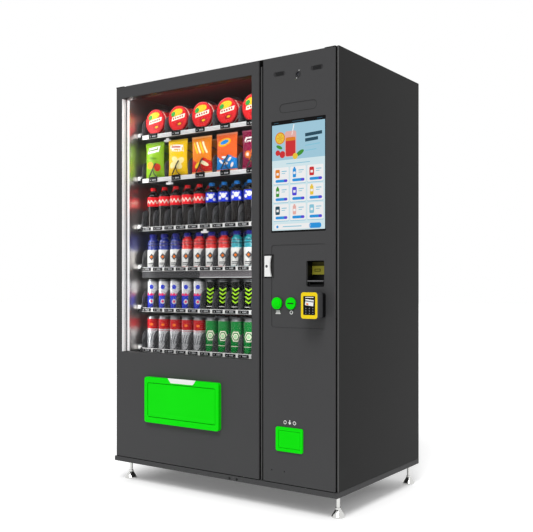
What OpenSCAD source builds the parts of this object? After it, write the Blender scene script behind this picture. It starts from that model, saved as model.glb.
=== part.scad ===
// Full-height snack and drink vending machine with a glass door and a control door.
// Origin on the floor below the middle of the overall box, +Z up, fronts facing -Y.

/* [Cabinet] */
// Overall height above the floor
body_h = 1940; // [1900:5:2050]
// Depth from the door fronts to the back
body_d = 758; // [745:1:860]
// Clear height under the base tray
foot_h = 96; // [70:1:120]
// Height of the base tray
base_h = 22; // [18:1:36]
// Sheet thickness of the base tray
base_skin = 3; // [2:0.5:5]
// Thickness of the foam filled outer panels
wall_t = 30; // [26:1:40]
// Thickness of the insulated wall between the bays
divider_t = 50; // [42:1:70]
// Gauge of liners, trays and folded sheet parts
sheet_t = 1.5; // [1:0.1:2]
// Clear width of the control bay
control_bay_w = 334; // [330:1:400]
// Clear height of the machine bay under the deck
machine_bay_h = 452; // [440:1:470]
// Thickness of the insulated deck
deck_t = 30; // [20:1:40]

/* [Feet] */
// Radius of the bell pad
foot_r = 29; // [22:1:40]
// Height of the bell pad
bell_h = 40; // [30:1:50]
// Radius of the threaded stem
stem_r = 8; // [6:0.5:10]
// Foot centre to the side of the base
foot_side = 39; // [36:1:60]
// Front foot centre to the front of the base
foot_front = 72; // [45:1:100]
// Rear foot centre to the back of the base
foot_back = 32; // [32:1:80]

/* [Doors] */
// How far the doors stand in front of the cabinet edges
door_proud = 14; // [13:0.5:20]
// Thickness of the door leaves
leaf_t = 11; // [9:0.5:12]
// Rounding of the leaves' upright edges
leaf_edge_r = 3; // [1:0.5:4]
// Cabinet side to the edge of a door
door_inset = 10.5; // [8:0.5:14]
// How far the glass door covers the wall between the bays
glass_lap = 16.5; // [12:0.5:20]
// How far the control door covers the wall between the bays
control_lap = 10.5; // [8:0.5:16]
// Door tops to the cabinet top
door_top_drop = 7; // [6:0.5:12]
// Gap between the base and the doors
door_base_gap = 4; // [3:0.5:8]
// Depth of the inner frame behind a leaf
plug_d = 32; // [26:1:34]
// Width of the inner frame's bars
plug_t = 14; // [12:0.5:14]
// Clearance of the inner frames in the cabinet
plug_gap = 4.5; // [4:0.5:7]
// Thickness of the rubber door seal
seal_t = 2.7; // [2:0.1:2.9]
// Width of the rubber door seal
seal_w = 12; // [8:0.5:14]
// Radius of the hinge pins
pin_r = 3.5; // [2.5:0.1:3.8]
// How deep the hinge pins reach into the doors
pin_depth = 15; // [10:1:20]
// Hinge axis to the outer edge of a door
hinge_in = 6.5; // [6:0.1:7]
// Thickness of the top hinge plates
hinge_plate_t = 4; // [3:0.5:5]

/* [Window] */
// Window opening to the door's upright edges
window_side = 39; // [36:0.5:60]
// Window opening to the door's top
window_top = 55; // [52:1:90]
// Door bottom to the window opening
sill_h = 514; // [505:1:560]
// Thickness of each pane
pane_t = 4; // [3:0.5:5]
// Space between the panes
pane_gap = 14; // [8:0.5:16]
// How far the panes reach behind the frame
pane_lap = 10; // [6:0.5:11]

/* [Delivery] */
// Width of the delivery bezel
bezel_w = 459; // [400:1:520]
// Height of the delivery bezel
bezel_h = 215; // [195:1:230]
// Bezel bar beside the flap
bezel_side = 19; // [16:0.5:30]
// Bezel bar above and below the flap
bezel_bar = 25.5; // [20:0.5:30]
// How far the bezel stands in front of the door
bezel_proud = 18; // [15:0.5:24]
// Corner radius of the bezel
bezel_r = 12; // [8:1:20]
// Bezel centre above the door bottom
delivery_z = 295; // [285:1:310]
// Thickness of the flap
flap_t = 8; // [6:0.5:9]
// Running gap round the delivery flap
delivery_gap = 3; // [2:0.1:4]
// Running gap round the coin flap and the lock paddle
flap_gap = 1.5; // [1:0.1:2]
// Radius of the flap pins
flap_pin_r = 2.5; // [2:0.1:2.9]
// Depth of the delivery bin
bin_d = 186; // [180:1:200]
// Delivery flap's lower edge to the bin floor
bin_drop = 28; // [15:1:45]
// Width of the bezel tab along its top
tab_w = 172; // [120:1:200]
// Height of the bezel tab
tab_h = 22; // [15:0.5:24]
// Thickness of the bezel tab
tab_t = 3; // [2:0.5:5]
// Bezel tab centre to the right of the bezel's middle
tab_x = 10; // [0:1:20]
// How far the bezel tab stands above the bezel
tab_up = 3; // [0:0.5:6]

/* [Screen and door top] */
// Width of the touch screen
screen_w = 276; // [240:1:284]
// Height of the touch screen
screen_h = 474; // [420:1:480]
// Door top to the touch screen
screen_drop = 272; // [265:1:300]
// How far the screen's housing reaches past its glass
screen_lip = 5; // [3:0.5:8]
// Depth of the screen's housing
screen_d = 42; // [30:1:50]
// Width of a speaker grille
speaker_w = 61; // [50:1:70]
// Height of a speaker grille
speaker_h = 19; // [14:1:24]
// Speaker centre to the middle of the door
speaker_x = 95; // [80:1:100]
// Door top to the speaker centres
speaker_drop = 72; // [66:1:80]
// Radius of the camera ring
camera_r = 13; // [9:0.5:16]
// Door top to the camera's axis
camera_drop = 86; // [80:1:95]
// Width of the cover strip
strip_w = 186; // [140:1:220]
// Height of the cover strip
strip_h = 36; // [24:1:44]
// Door top to the cover strip's middle
strip_drop = 221; // [205:1:235]

/* [Payment] */
// Width of the payment plate
plate_w = 274; // [272:1:282]
// Height of the payment plate
plate_h = 351; // [340:1:370]
// Touch screen down to the payment plate
plate_z = 53; // [40:1:70]
// How far the payment plate lies behind the door front
plate_sunk = 2; // [1:0.5:4]
// How far the payment plate's rim reaches behind the leaf
plate_lip = 6; // [4:0.5:8]
// Bill recess width
bill_w = 88; // [80:1:96]
// Bill recess height
bill_h = 108; // [96:1:120]
// Bill recess depth
bill_d = 44; // [30:1:60]
// Wall of the bill acceptor
bill_wall = 6; // [4:0.5:8]
// Radius of the coin entry and of the change button
round_r = 25; // [20:0.5:28]
// Radius of the stems of the coin entry and of the change button
round_stem_r = 9; // [7:0.5:12]
// Change button centre to the middle of the door
button_x = -103.5; // [-106:0.5:-100]
// Coin entry centre to the middle of the door
coin_x = -34.5; // [-40:0.5:-28]
// Middle of the button row above the plate's lower edge
round_z = 103; // [90:1:115]
// Travel of the change button
button_travel = 4; // [3:0.5:5]
// Width of the card terminal
terminal_w = 80; // [72:1:90]
// Height of the card terminal
terminal_h = 107; // [95:1:115]
// How far the card terminal stands in front of the doors
terminal_proud = 68; // [50:1:90]
// Thickness of the card terminal's coloured face
terminal_face_t = 10; // [6:0.5:14]
// Card terminal centre to the middle of the door
terminal_x = 101.5; // [99:0.5:106]
// Card terminal centre above the plate's lower edge
terminal_z = 98; // [90:1:104]

/* [Lock] */
// Height of the lock paddle
paddle_h = 89; // [70:1:100]
// Width of the lock paddle
paddle_w = 38; // [30:0.5:40]
// Thickness of the lock paddle
paddle_t = 7; // [6:0.5:8]
// Width of the finger gap beside the paddle
finger_gap = 12; // [10:0.5:14]
// Depth of the lock pocket in the leaf
pocket_d = 8; // [7.5:0.1:8.5]
// Payment plate's middle up to the lock's middle
lock_z = 85.5; // [60:0.5:110]
// Radius of the key cylinder
key_r = 6; // [5:0.5:7]

/* [Coin return] */
// Width of the coin return
cup_bezel_w = 138; // [125:1:150]
// Height of the coin return
cup_bezel_h = 103; // [95:1:112]
// Bar round the coin flap
cup_bar = 14; // [12:0.5:16]
// How far the coin return stands in front of the door
cup_proud = 6; // [4:0.5:10]
// Depth of the coin cup behind the leaf
cup_d = 76; // [72:1:85]
// Wall of the coin cup
cup_wall = 3; // [2:0.5:4]
// Thickness of the coin flap
coin_flap_t = 5; // [5:0.5:6]
// Coin return centre to the middle of the door
cup_x = -41.5; // [-50:0.5:0]
// Coin return centre above the door bottom
cup_z = 189; // [150:1:220]

/* [Trays] */
// Width of a drink lane, half the width of a snack lane
lane_pitch = 77.15; // [72:0.5:84]
// Left liner to the trays
tray_gap_l = 26; // [20:0.5:40]
// Trays to the right liner
tray_gap_r = 44; // [30:0.5:60]
// Cabinet front edge to the trays
tray_setback = 113; // [111:0.5:118]
// Deck up to the lowest tray
lowest_tray = 37; // [30:1:50]
// Head room above the cans
can_head = 36; // [28:1:60]
// Head room above the slim cans
slim_head = 52; // [40:1:66]
// Head room above the sports bottles
sport_head = 28; // [22:1:50]
// Head room above the bottles
bottle_head = 36; // [28:1:60]
// Head room above the bags
bag_head = 27.8; // [24:0.1:36]
// Head room above the cups, the rows share the cabinet's spare height in proportion to their head rooms
cup_head = 80.5; // [70:0.5:100]
// Height of the price rails
rail_h = 20; // [16:1:24]
// Thickness of the price rails
rail_t = 8; // [6:0.5:10]
// How far a price rail reaches above its tray floor
rail_up = 7.5; // [5:0.5:9]
// Height of the lane dividers
fin_h = 98; // [80:1:105]
// Radius of the dividers' front corner
fin_nose_r = 42; // [20:1:60]
// Height of the tray backs
tray_back_h = 112; // [100:1:118]

/* [Spirals] */
// Diameter of the spiral wire
wire_d = 4.5; // [3.5:0.1:5]
// Advance of a spiral in one turn
spiral_pitch = 84; // [78:0.5:84.5]
// Most turns of a spiral, as far as the cabinet's depth has room
spiral_turns = 6; // [4:1:6]
// Radius of the drive hub
hub_r = 16; // [14:0.5:20]
// Length of the drive hub
hub_l = 12; // [8:1:14]
// Radius of the drive shaft
shaft_r = 4; // [3:0.5:5]
// Depth of a spiral motor
motor_d = 48; // [40:1:52]
// Width and height of a spiral motor
motor_w = 46; // [40:1:52]

/* [Stock] */
// Half width of the snacks, the radius of a cup
snack_r = 63; // [54:1:64]
// Length of a cup
cup_l = 75; // [60:1:76]
// Thickness of a bag
bag_t = 30; // [24:1:32]
// Height of a bag
bag_h = 177; // [150:1:180]
// Snacks that stand one behind another
snack_depth = 3; // [1:1:4]
// Radius of a bottle
bottle_r = 30; // [26:0.5:34]
// Height of a bottle
bottle_h = 206; // [160:1:212]
// Radius of a sports bottle
sport_r = 30; // [26:0.5:34]
// Height of a sports bottle
sport_h = 174; // [150:1:180]
// Radius of a slim can
slim_r = 29; // [24:0.5:31]
// Height of a slim can
slim_h = 150; // [125:1:158]
// Radius of a can
can_r = 31; // [26:0.5:33]
// Height of a can
can_h = 166; // [120:1:170]

/* [Hidden] */
$fn = 48;
// Radial clearance of pins, shafts and stems that turn or slide
run_clear = 0.05;
// Clearance between pieces that pass each other
pass_clear = 0.4;
// Clearance of a fixed piece in its cut-out
fit_clear = 0.25;
// Clearance between snacks and spiral wire
snack_clear = 0.3;
// Points of each rounded corner
corner_steps = 5;
// Margin by which a cut runs past a face
past = 1;

// Widths, from the lanes outwards
snack_lanes = 5;
drink_lanes = 2*snack_lanes;
tray_w = drink_lanes*lane_pitch + sheet_t;
bay_w = tray_w + tray_gap_l + tray_gap_r;
body_w = 2*wall_t + 2*sheet_t + bay_w + divider_t + control_bay_w;
x_l = -body_w/2;
x_r = body_w/2;
x_li = x_l + wall_t;
x_ri = x_r - wall_t;
bay_x0 = x_li + sheet_t;
bay_x1 = bay_x0 + bay_w;
div_x0 = bay_x1 + sheet_t;
div_x1 = div_x0 + divider_t;

// Depths, the overall box reaches from the card terminal to the back
back_y = (body_d + terminal_proud)/2;
term_y = -back_y;
door_y = term_y + terminal_proud;
leaf_y = door_y + leaf_t;
cab_y = door_y + door_proud;
plug_y = leaf_y + plug_d;
rear_y = back_y - wall_t;
tray_y = cab_y + tray_setback;

// Heights
base_z1 = foot_h + base_h;
deck_z0 = base_z1 + machine_bay_h;
deck_z1 = deck_z0 + deck_t;
roof_z0 = body_h - wall_t;
door_z0 = base_z1 + door_base_gap;
door_z1 = body_h - door_top_drop;

// Doors
glass_x0 = x_l + door_inset;
glass_x1 = div_x0 + glass_lap;
control_x0 = div_x1 - control_lap;
control_x1 = x_r - door_inset;
control_cx = (control_x0 + control_x1)/2;
glass_cx = (glass_x0 + glass_x1)/2;
hinge_x = control_x1 - hinge_in;
hinge_y = door_y + leaf_t/2;
plug_z0 = base_z1 + 2.5*door_base_gap;
plug_z1 = roof_z0 - sheet_t - plug_gap;
glass_plug_x0 = bay_x0 + plug_gap;
glass_plug_x1 = bay_x1 - plug_gap;
control_plug_x0 = div_x1 + plug_gap;
control_plug_x1 = x_ri - plug_gap;
hinge_plate_z = door_z1 + pass_clear;
hinge_plate_w = 52;
hinge_plate_back = 40;
hinge_plate_edge = 8;
hinge_plate_x1 = hinge_x + hinge_plate_edge;
hinge_plate_x0 = hinge_plate_x1 - hinge_plate_w;

// Window
window_x0 = glass_x0 + window_side;
window_x1 = glass_x1 - window_side;
window_z0 = door_z0 + sill_h;
window_z1 = door_z1 - window_top;
glazing_t = 2*pane_t + pane_gap;
sill_bar = 30;

// Delivery opening
bezel_cz = door_z0 + delivery_z;
bezel_y = door_y - bezel_proud;
mouth_w = bezel_w - 2*bezel_side;
mouth_h = bezel_h - 2*bezel_bar;
mouth_r = 8;
sleeve_t = 4;
sleeve_y = leaf_y + 10;
flap_sunk = 2;
flap_y = bezel_y + flap_sunk;
flap_w = mouth_w - 2*delivery_gap;
flap_h = mouth_h - 2*delivery_gap;
flap_r = 5;
flap_pin_y = flap_y + flap_t/2;
flap_pin_z = bezel_cz + mouth_h/2 - delivery_gap - flap_t;
flap_pin_reach = bezel_side/2;
bin_y0 = plug_y + 6;
bin_y1 = bin_y0 + bin_d;
bin_z = bezel_cz - mouth_h/2 - bin_drop;
bin_lip = 12;

// Control door fittings
screen_cz = door_z1 - screen_drop - screen_h/2;
screen_sunk = 1;
plate_cz = screen_cz - screen_h/2 - plate_z - plate_h/2;
plate_y = door_y + plate_sunk;
plate_r = 12;
plate_rim_t = 3;
plate_back = leaf_y + plate_rim_t;
bill_side = 8;
bill_up = 52;
bill_x = control_cx + plate_w/2 - bill_w/2 - bill_side;
bill_z = plate_cz + bill_up;
button_cx = control_cx + button_x;
coin_cx = control_cx + coin_x;
round_cz = plate_cz - plate_h/2 + round_z;
round_head_t = 8;
terminal_cx = control_cx + terminal_x;
terminal_cz = plate_cz - plate_h/2 + terminal_z;
terminal_r = 11;
terminal_neck = 3.5;
terminal_step_y = term_y + 0.6*terminal_proud;
changer_w = 112;
changer_d = 130;
changer_h = 270;
cash_w = 100;
cash_h = 120;

// Lock
pocket_x0 = control_x0 + 4;
pocket_wall = 2;
pocket_end = 5;
paddle_x0 = pocket_x0 + pocket_wall + 1;
barrel_r = paddle_t/2;
paddle_axis_x = paddle_x0 + barrel_r;
paddle_axis_y = door_y + pocket_d - pocket_wall - barrel_r + 0.3;
paddle_x1 = paddle_x0 + paddle_w;
pocket_x1 = paddle_x1 + finger_gap;
lock_cz = plate_cz + lock_z;
paddle_pin_r = 2;
paddle_pin_l = 3;
pocket_h = paddle_h + 2*pocket_end + 2*flap_gap;
key_x = paddle_x0 + 0.4*paddle_w;
key_cz = lock_cz;
key_short = 3.6;

// Coin return
cup_cx = control_cx + cup_x;
cup_cz = door_z0 + cup_z;
cup_mouth_w = cup_bezel_w - 2*cup_bar;
cup_mouth_h = cup_bezel_h - 2*cup_bar;
cup_y = door_y - cup_proud;
cup_y1 = leaf_y + cup_d;
coin_flap_y = cup_y + 1.5;
coin_pin_y = coin_flap_y + coin_flap_t/2;
coin_pin_z = cup_cz + cup_mouth_h/2 - flap_gap - coin_flap_t;
coin_pin_r = 1.8;
coin_pin_reach = 6;

// Spirals: wound from rings of a few sides, the snacks fit inside the flats
coil_rings = 8;
wire_sides = 5;
wire_r = wire_d/2;
coil_r = (snack_r + snack_clear + wire_r)/cos(180/coil_rings);
coil_floor_gap = 0.5;
coil_axis_up = coil_floor_gap + coil_r + wire_r;
coil_front_gap = 10;
coil_start_y = tray_y + coil_front_gap;
coil_taper = 6;
coil_tail_r = 9;
coil_front_angle = -67.5;
hub_gap = 1.5;
motor_back_gap = 4;
drive_d = wire_d + hub_l + hub_gap + sheet_t + motor_d + motor_back_gap;
coil_turns = min(spiral_turns, floor((rear_y - sheet_t - drive_d - coil_start_y)/spiral_pitch));
coil_end_y = coil_start_y + coil_turns*spiral_pitch + wire_d;
tray_y1 = coil_end_y + hub_l + hub_gap + sheet_t;
shaft_reach = 20;
first_cup_y = coil_start_y + 1;
// A bag stands midway between the places where the wire crosses over the top
first_bag_y = coil_start_y + spiral_pitch*(coil_front_angle + 90)/360 - bag_t/2;
first_drink_y = tray_y + 12;

// Tray undersides from the lowest tray up
level_6 = deck_z1 + lowest_tray;
bag_rise = sheet_t + coil_axis_up - snack_r;
stock_sum = can_h + slim_h + sport_h + bottle_h + bag_rise + bag_h + 2*snack_r;
head_sum = can_head + slim_head + sport_head + bottle_head + bag_head + cup_head;
head_share = (roof_z0 - sheet_t - level_6 - stock_sum)/head_sum;
level_5 = level_6 + can_h + can_head*head_share;
level_4 = level_5 + slim_h + slim_head*head_share;
level_3 = level_4 + sport_h + sport_head*head_share;
level_2 = level_3 + bottle_h + bottle_head*head_share;
level_1 = level_2 + bag_rise + bag_h + bag_head*head_share;
snack_levels = [level_1, level_2];
drink_levels = [level_3, level_4, level_5, level_6];
tray_levels = concat(snack_levels, drink_levels);
tray_x0 = bay_x0 + tray_gap_l;
tray_x1 = tray_x0 + tray_w;
function snack_x(lane) = tray_x0 + sheet_t/2 + (2*lane - 1)*lane_pitch;
function drink_x(lane) = tray_x0 + sheet_t/2 + (lane - 0.5)*lane_pitch;
function fin_x(place) = tray_x0 + place*lane_pitch;

// Colours
charcoal = "#4a4a4b";
dark_grey = "#2b2b2c";
black = "#121213";
steel = "#9a9c9e";
bright = "#e8e8e6";
green = "#14e014";
yellow = "#f5d81e";

// Box between two corners
module slab(x0, x1, y0, y1, z0, z1) {
    translate([x0, y0, z0]) cube([x1 - x0, y1 - y0, z1 - z0]);
}

function round_rect(w, h, r) = [
    for (c = [[1, 1, 0], [-1, 1, 90], [-1, -1, 180], [1, -1, 270]])
        for (i = [0:corner_steps])
            [c[0]*(w/2 - r) + r*cos(c[2] + 90*i/corner_steps),
             c[1]*(h/2 - r) + r*sin(c[2] + 90*i/corner_steps)]
];

// Upright plate with rounded corners, seen from the front
module face_plate(cx, cz, w, h, r, y0, y1) {
    translate([cx, y1, cz]) rotate([90, 0, 0]) linear_extrude(y1 - y0) polygon(round_rect(w, h, r));
}

module x_pin(y, z, r, x0, x1) {
    translate([x0, y, z]) rotate([0, 90, 0]) cylinder(r = r, h = x1 - x0);
}

module y_pin(x, z, r, y0, y1) {
    translate([x, y1, z]) rotate([90, 0, 0]) cylinder(r = r, h = y1 - y0);
}

module z_pin(x, y, r, z0, z1) {
    translate([x, y, z0]) cylinder(r = r, h = z1 - z0);
}

// Cabinet shell

module at_feet() {
    for (x = [x_l + foot_side, x_r - foot_side])
        for (y = [door_y + foot_front, back_y - foot_back])
            translate([x, y, 0]) children();
}

module base_tray() {
    boss_r = 2*stem_r;
    color(charcoal) difference() {
        union() {
            difference() {
                slab(x_l, x_r, door_y, back_y, foot_h, base_z1);
                slab(x_l + base_skin, x_r - base_skin, door_y + base_skin, back_y - base_skin,
                     foot_h - past, base_z1 - base_skin);
            }
            at_feet() z_pin(0, 0, boss_r, foot_h, base_z1 - base_skin/2);
        }
        at_feet() z_pin(0, 0, stem_r + run_clear, foot_h - past, base_z1 - base_skin);
    }
}

module levelling_feet() {
    nut_r = 1.8*stem_r;
    nut_h = stem_r;
    collar_r = stem_r + 4;
    bell = [[0, 0], [foot_r, 0], [foot_r, bell_h/6], [0.8*foot_r, 0.4*bell_h],
            [collar_r, 0.8*bell_h], [collar_r, bell_h], [0, bell_h]];
    color(bright) at_feet() {
        rotate_extrude() polygon(bell);
        z_pin(0, 0, stem_r, bell_h - past, base_z1 - base_skin - past);
        translate([0, 0, foot_h - nut_h]) cylinder(r = nut_r, h = nut_h, $fn = 6);
    }
}

// Notch for a top hinge plate, cut into the roof and the side panels
module hinge_notches() {
    for (side = [0, 1])
        mirror([side, 0, 0])
            slab(hinge_plate_x0 - fit_clear, hinge_plate_x1 + fit_clear,
                 cab_y - past, cab_y + hinge_plate_back + fit_clear, hinge_plate_z, body_h + past);
}

module side_panel(x0) {
    difference() {
        slab(x0, x0 + wall_t, cab_y, back_y, base_z1, body_h);
        hinge_notches();
    }
}

module left_side_panel() {
    color(charcoal) side_panel(x_l);
}

module right_side_panel() {
    color(dark_grey) side_panel(x_ri);
}

module rear_panel() {
    vent_w = 300;
    vent_h = 8;
    vent_step = 22;
    vent_x = x_li + 60;
    gland_r = 11;
    pocket_w = 70;
    pocket_depth = 22;
    gland_x = x_ri - 120;
    gland_z = base_z1 + 90;
    color(charcoal) {
        difference() {
            slab(x_li, x_ri, rear_y, back_y, base_z1, body_h);
            for (i = [0:9])
                slab(vent_x, vent_x + vent_w, rear_y - past, back_y + past,
                     base_z1 + 50 + i*vent_step, base_z1 + 50 + i*vent_step + vent_h);
            face_plate(gland_x, gland_z, pocket_w, pocket_w, 8, back_y - pocket_depth, back_y + past);
            y_pin(gland_x, gland_z, gland_r/2, rear_y - past, back_y);
        }
        difference() {
            y_pin(gland_x, gland_z, gland_r, back_y - pocket_depth, back_y - pocket_depth/3);
            y_pin(gland_x, gland_z, gland_r/2, rear_y - past, back_y);
        }
    }
}

module top_panel() {
    color(charcoal) difference() {
        slab(x_li, x_ri, cab_y, rear_y, roof_z0, body_h);
        hinge_notches();
    }
}

module compartment_divider() {
    color(dark_grey) slab(div_x0, div_x1, cab_y, rear_y, base_z1, roof_z0);
}

module chiller_liner() {
    color("#3a3436") {
        slab(x_li, bay_x0, cab_y, rear_y, base_z1, roof_z0);
        slab(bay_x1, div_x0, cab_y, rear_y, base_z1, roof_z0);
        slab(bay_x0, bay_x1, rear_y - sheet_t, rear_y, deck_z1, roof_z0);
        slab(bay_x0, bay_x1, cab_y, rear_y - sheet_t, roof_z0 - sheet_t, roof_z0);
    }
}

module machine_deck() {
    color(steel) slab(bay_x0, bay_x1, tray_y + 20, rear_y, deck_z0, deck_z1);
}

// Open trough behind the delivery flap, hung from the deck and the side liners
module delivery_bin() {
    color(dark_grey) {
        slab(bay_x0, bay_x1, bin_y0, bin_y1, bin_z, bin_z + sheet_t);
        slab(bay_x0, bay_x1, bin_y0, bin_y0 + sheet_t, bin_z, bin_z + bin_lip);
        slab(bay_x0, bay_x1, bin_y1 - sheet_t, bin_y1, bin_z, deck_z0);
        slab(bay_x0, bay_x0 + sheet_t, bin_y0, bin_y1, bin_z, deck_z0);
        slab(bay_x1 - sheet_t, bay_x1, bin_y0, bin_y1, bin_z, deck_z0);
    }
}

module door_hinges() {
    washer_r = 6;
    color(steel) for (side = [0, 1]) mirror([side, 0, 0]) {
        slab(hinge_plate_x0, hinge_plate_x1,
             hinge_y - leaf_t/2 + 1, cab_y + hinge_plate_back, hinge_plate_z, hinge_plate_z + hinge_plate_t);
        z_pin(hinge_x, hinge_y, pin_r, door_z1 - pin_depth, hinge_plate_z + hinge_plate_t);
        z_pin(hinge_x, hinge_y, washer_r - past, base_z1, door_z0 - pass_clear);
        z_pin(hinge_x, hinge_y, pin_r, base_z1, door_z0 + pin_depth);
    }
}

// Trays, rails and drives

module tray_runners() {
    runner_h = 24;
    color(steel) for (z = tray_levels) {
        slab(bay_x0, tray_x0, tray_y, tray_y1, z, z + runner_h);
        slab(tray_x1, bay_x1, tray_y, tray_y1, z, z + runner_h);
    }
}

module one_tray(z, shaft_places, shaft_up) {
    difference() {
        union() {
            slab(tray_x0, tray_x1, tray_y, tray_y1, z, z + sheet_t);
            slab(tray_x0, tray_x1, tray_y1 - sheet_t, tray_y1, z, z + tray_back_h);
        }
        for (x = shaft_places)
            y_pin(x, z + sheet_t + shaft_up, shaft_r + 1, tray_y1 - sheet_t - past, tray_y1 + past);
    }
}

module trays() {
    color("#36363a") {
        for (z = snack_levels) one_tray(z, [for (lane = [1:snack_lanes]) snack_x(lane)], coil_axis_up);
        for (z = drink_levels) one_tray(z, [for (lane = [1:drink_lanes]) drink_x(lane)], lane_pitch/2);
    }
}

module lane_divider(x, z) {
    y0 = tray_y + 2;
    y1 = tray_y1 - sheet_t;
    nose = [for (i = [0:corner_steps])
        [y0 + fin_nose_r*(1 - sin(90*i/corner_steps)), fin_h - fin_nose_r*(1 - cos(90*i/corner_steps))]];
    translate([x, 0, z + sheet_t]) rotate([90, 0, 90]) linear_extrude(sheet_t)
        polygon(concat([[y0, 0], [y1, 0], [y1, fin_h]], nose));
}

module lane_dividers() {
    color("#4d4d50") {
        for (z = snack_levels) for (k = [0:snack_lanes]) lane_divider(fin_x(2*k), z);
        for (z = drink_levels) for (k = [0:drink_lanes]) lane_divider(fin_x(k), z);
    }
}

module price_rails() {
    clip_in = 3;
    color(bright) for (z = tray_levels) {
        rail_z1 = z + sheet_t + rail_up;
        slab(tray_x0, tray_x1, tray_y - rail_t, tray_y, rail_z1 - rail_h, rail_z1);
        slab(bay_x0 + clip_in, tray_x0 - clip_in, tray_y - rail_t, tray_y, z, z + rail_h);
        slab(tray_x1 + clip_in, bay_x1 - clip_in, tray_y - rail_t, tray_y, z, z + rail_h);
    }
}

module snack_motor(x, z) {
    axis_z = z + sheet_t + coil_axis_up;
    difference() {
        slab(x - motor_w/2, x + motor_w/2, tray_y1, tray_y1 + motor_d,
             axis_z - motor_w/2, axis_z + motor_w/2);
        y_pin(x, axis_z, shaft_r + run_clear, tray_y1 - past, tray_y1 + shaft_reach + past);
    }
}

// Drink motors carry their hub in front of the tray back
module drink_motor(x, z) {
    axis_z = z + sheet_t + lane_pitch/2;
    slab(x - motor_w/2, x + motor_w/2, tray_y1, tray_y1 + motor_d, axis_z - motor_w/2, axis_z + motor_w/2);
    y_pin(x, axis_z, shaft_r, tray_y1 - sheet_t - hub_gap - past, tray_y1 + past);
    y_pin(x, axis_z, hub_r, tray_y1 - sheet_t - hub_gap - hub_l, tray_y1 - sheet_t - hub_gap);
}

module spiral_motors() {
    color(bright) {
        for (z = snack_levels) for (lane = [1:snack_lanes]) snack_motor(snack_x(lane), z);
        for (z = drink_levels) for (lane = [1:drink_lanes]) drink_motor(drink_x(lane), z);
    }
}

// Spirals: a wire tube swept along a helix that draws in to the hub at its rear end

function unit(v) = v/norm(v);
function coil_angle(i) = coil_front_angle - 360*i/coil_rings;
function coil_radius(i, last) = i <= last - coil_taper ? coil_r
    : coil_r + (coil_tail_r - coil_r)*(i - last + coil_taper)/coil_taper;
function coil_centre(i, last) = [
    coil_radius(i, last)*cos(coil_angle(i)),
    coil_start_y + spiral_pitch*i/coil_rings,
    coil_radius(i, last)*sin(coil_angle(i))
];
function coil_outward(i) = [cos(coil_angle(i)), 0, sin(coil_angle(i))];
function coil_along(i, last) = unit([
    coil_radius(i, last)*sin(coil_angle(i)),
    spiral_pitch/(2*PI),
    -coil_radius(i, last)*cos(coil_angle(i))
]);
// Each ring of the wire: its centre, its direction and its outward side
function coil_path(last) = concat(
    [[coil_centre(0, last) - wire_d*coil_along(0, last), coil_along(0, last), coil_outward(0)]],
    [for (i = [0:last - 1]) [coil_centre(i, last), coil_along(i, last), coil_outward(i)]],
    [[coil_centre(last, last), unit(coil_along(last, last) + [0, 1, 0]), coil_outward(last)]],
    [[coil_centre(last, last) + [0, wire_d, 0], [0, 1, 0], coil_outward(last)]]
);
function tube_points(path, r, sides) = [
    for (p = path) for (k = [0:sides - 1])
        p[0] + r*(cos(360*k/sides)*p[2] + sin(360*k/sides)*unit(cross(p[1], p[2])))
];
function tube_faces(rings, sides) = concat(
    [for (k = [1:sides - 2]) [0, k, k + 1]],
    [for (j = [0:rings - 2]) for (k = [0:sides - 1]) let(n = (k + 1)%sides)
        [j*sides + k, (j + 1)*sides + k, (j + 1)*sides + n]],
    [for (j = [0:rings - 2]) for (k = [0:sides - 1]) let(n = (k + 1)%sides)
        [j*sides + k, (j + 1)*sides + n, j*sides + n]],
    [for (k = [1:sides - 2]) [(rings - 1)*sides, (rings - 1)*sides + k + 1, (rings - 1)*sides + k]]
);
coil_last = coil_turns*coil_rings;
spiral_path = coil_path(coil_last);
// Least distance between ring centres at least half a turn apart, less the wire
spiral_self_gap = min([
    for (i = [0:coil_last]) for (j = [i + coil_rings/2:1:coil_last])
        norm(coil_centre(i, coil_last) - coil_centre(j, coil_last))
]) - wire_d;
echo(spiral_self_gap = spiral_self_gap);

module snack_spiral(lane, z) {
    translate([snack_x(lane), 0, z + sheet_t + coil_axis_up]) {
        color(black) polyhedron(tube_points(spiral_path, wire_r, wire_sides),
                                tube_faces(len(spiral_path), wire_sides));
        color(black) union() {
            y_pin(0, 0, hub_r, coil_end_y, coil_end_y + hub_l);
            y_pin(0, 0, shaft_r, coil_end_y + hub_l - past, tray_y1 + shaft_reach);
        }
    }
}

module bag_spirals() {
    for (lane = [1:snack_lanes]) snack_spiral(lane, level_2);
}

// Stock

module cup_stack(lane) {
    base_r = 0.82*snack_r;
    rim = 7;
    cup = [[0, 0], [0.9*snack_r, 0], [0.9*snack_r, 2], [snack_r, 2], [snack_r, rim], [0.94*snack_r, rim + 2],
           [base_r, cup_l], [0, cup_l]];
    color("#d81f26") for (k = [0:snack_depth - 1])
        translate([snack_x(lane), first_cup_y + k*spiral_pitch, level_1 + sheet_t + coil_axis_up])
            rotate([-90, 0, 0]) rotate_extrude() polygon(cup);
}

// Bags stand between the turns, with a round bottom that lies in the coil
module stock_bags() {
    axis_z = level_2 + sheet_t + coil_axis_up;
    color("#e8b51c") for (lane = [1:snack_lanes]) for (k = [0:snack_depth - 1]) {
        y0 = first_bag_y + k*spiral_pitch;
        x = snack_x(lane);
        union() {
            y_pin(x, axis_z, snack_r, y0, y0 + bag_t);
            slab(x - snack_r, x + snack_r, y0, y0 + bag_t, axis_z, axis_z - snack_r + bag_h);
        }
    }
}

module drink_row(z, profile) {
    for (lane = [1:drink_lanes])
        translate([drink_x(lane), first_drink_y + max([for (p = profile) p[0]]), z + sheet_t])
            rotate_extrude() polygon(profile);
}

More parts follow.
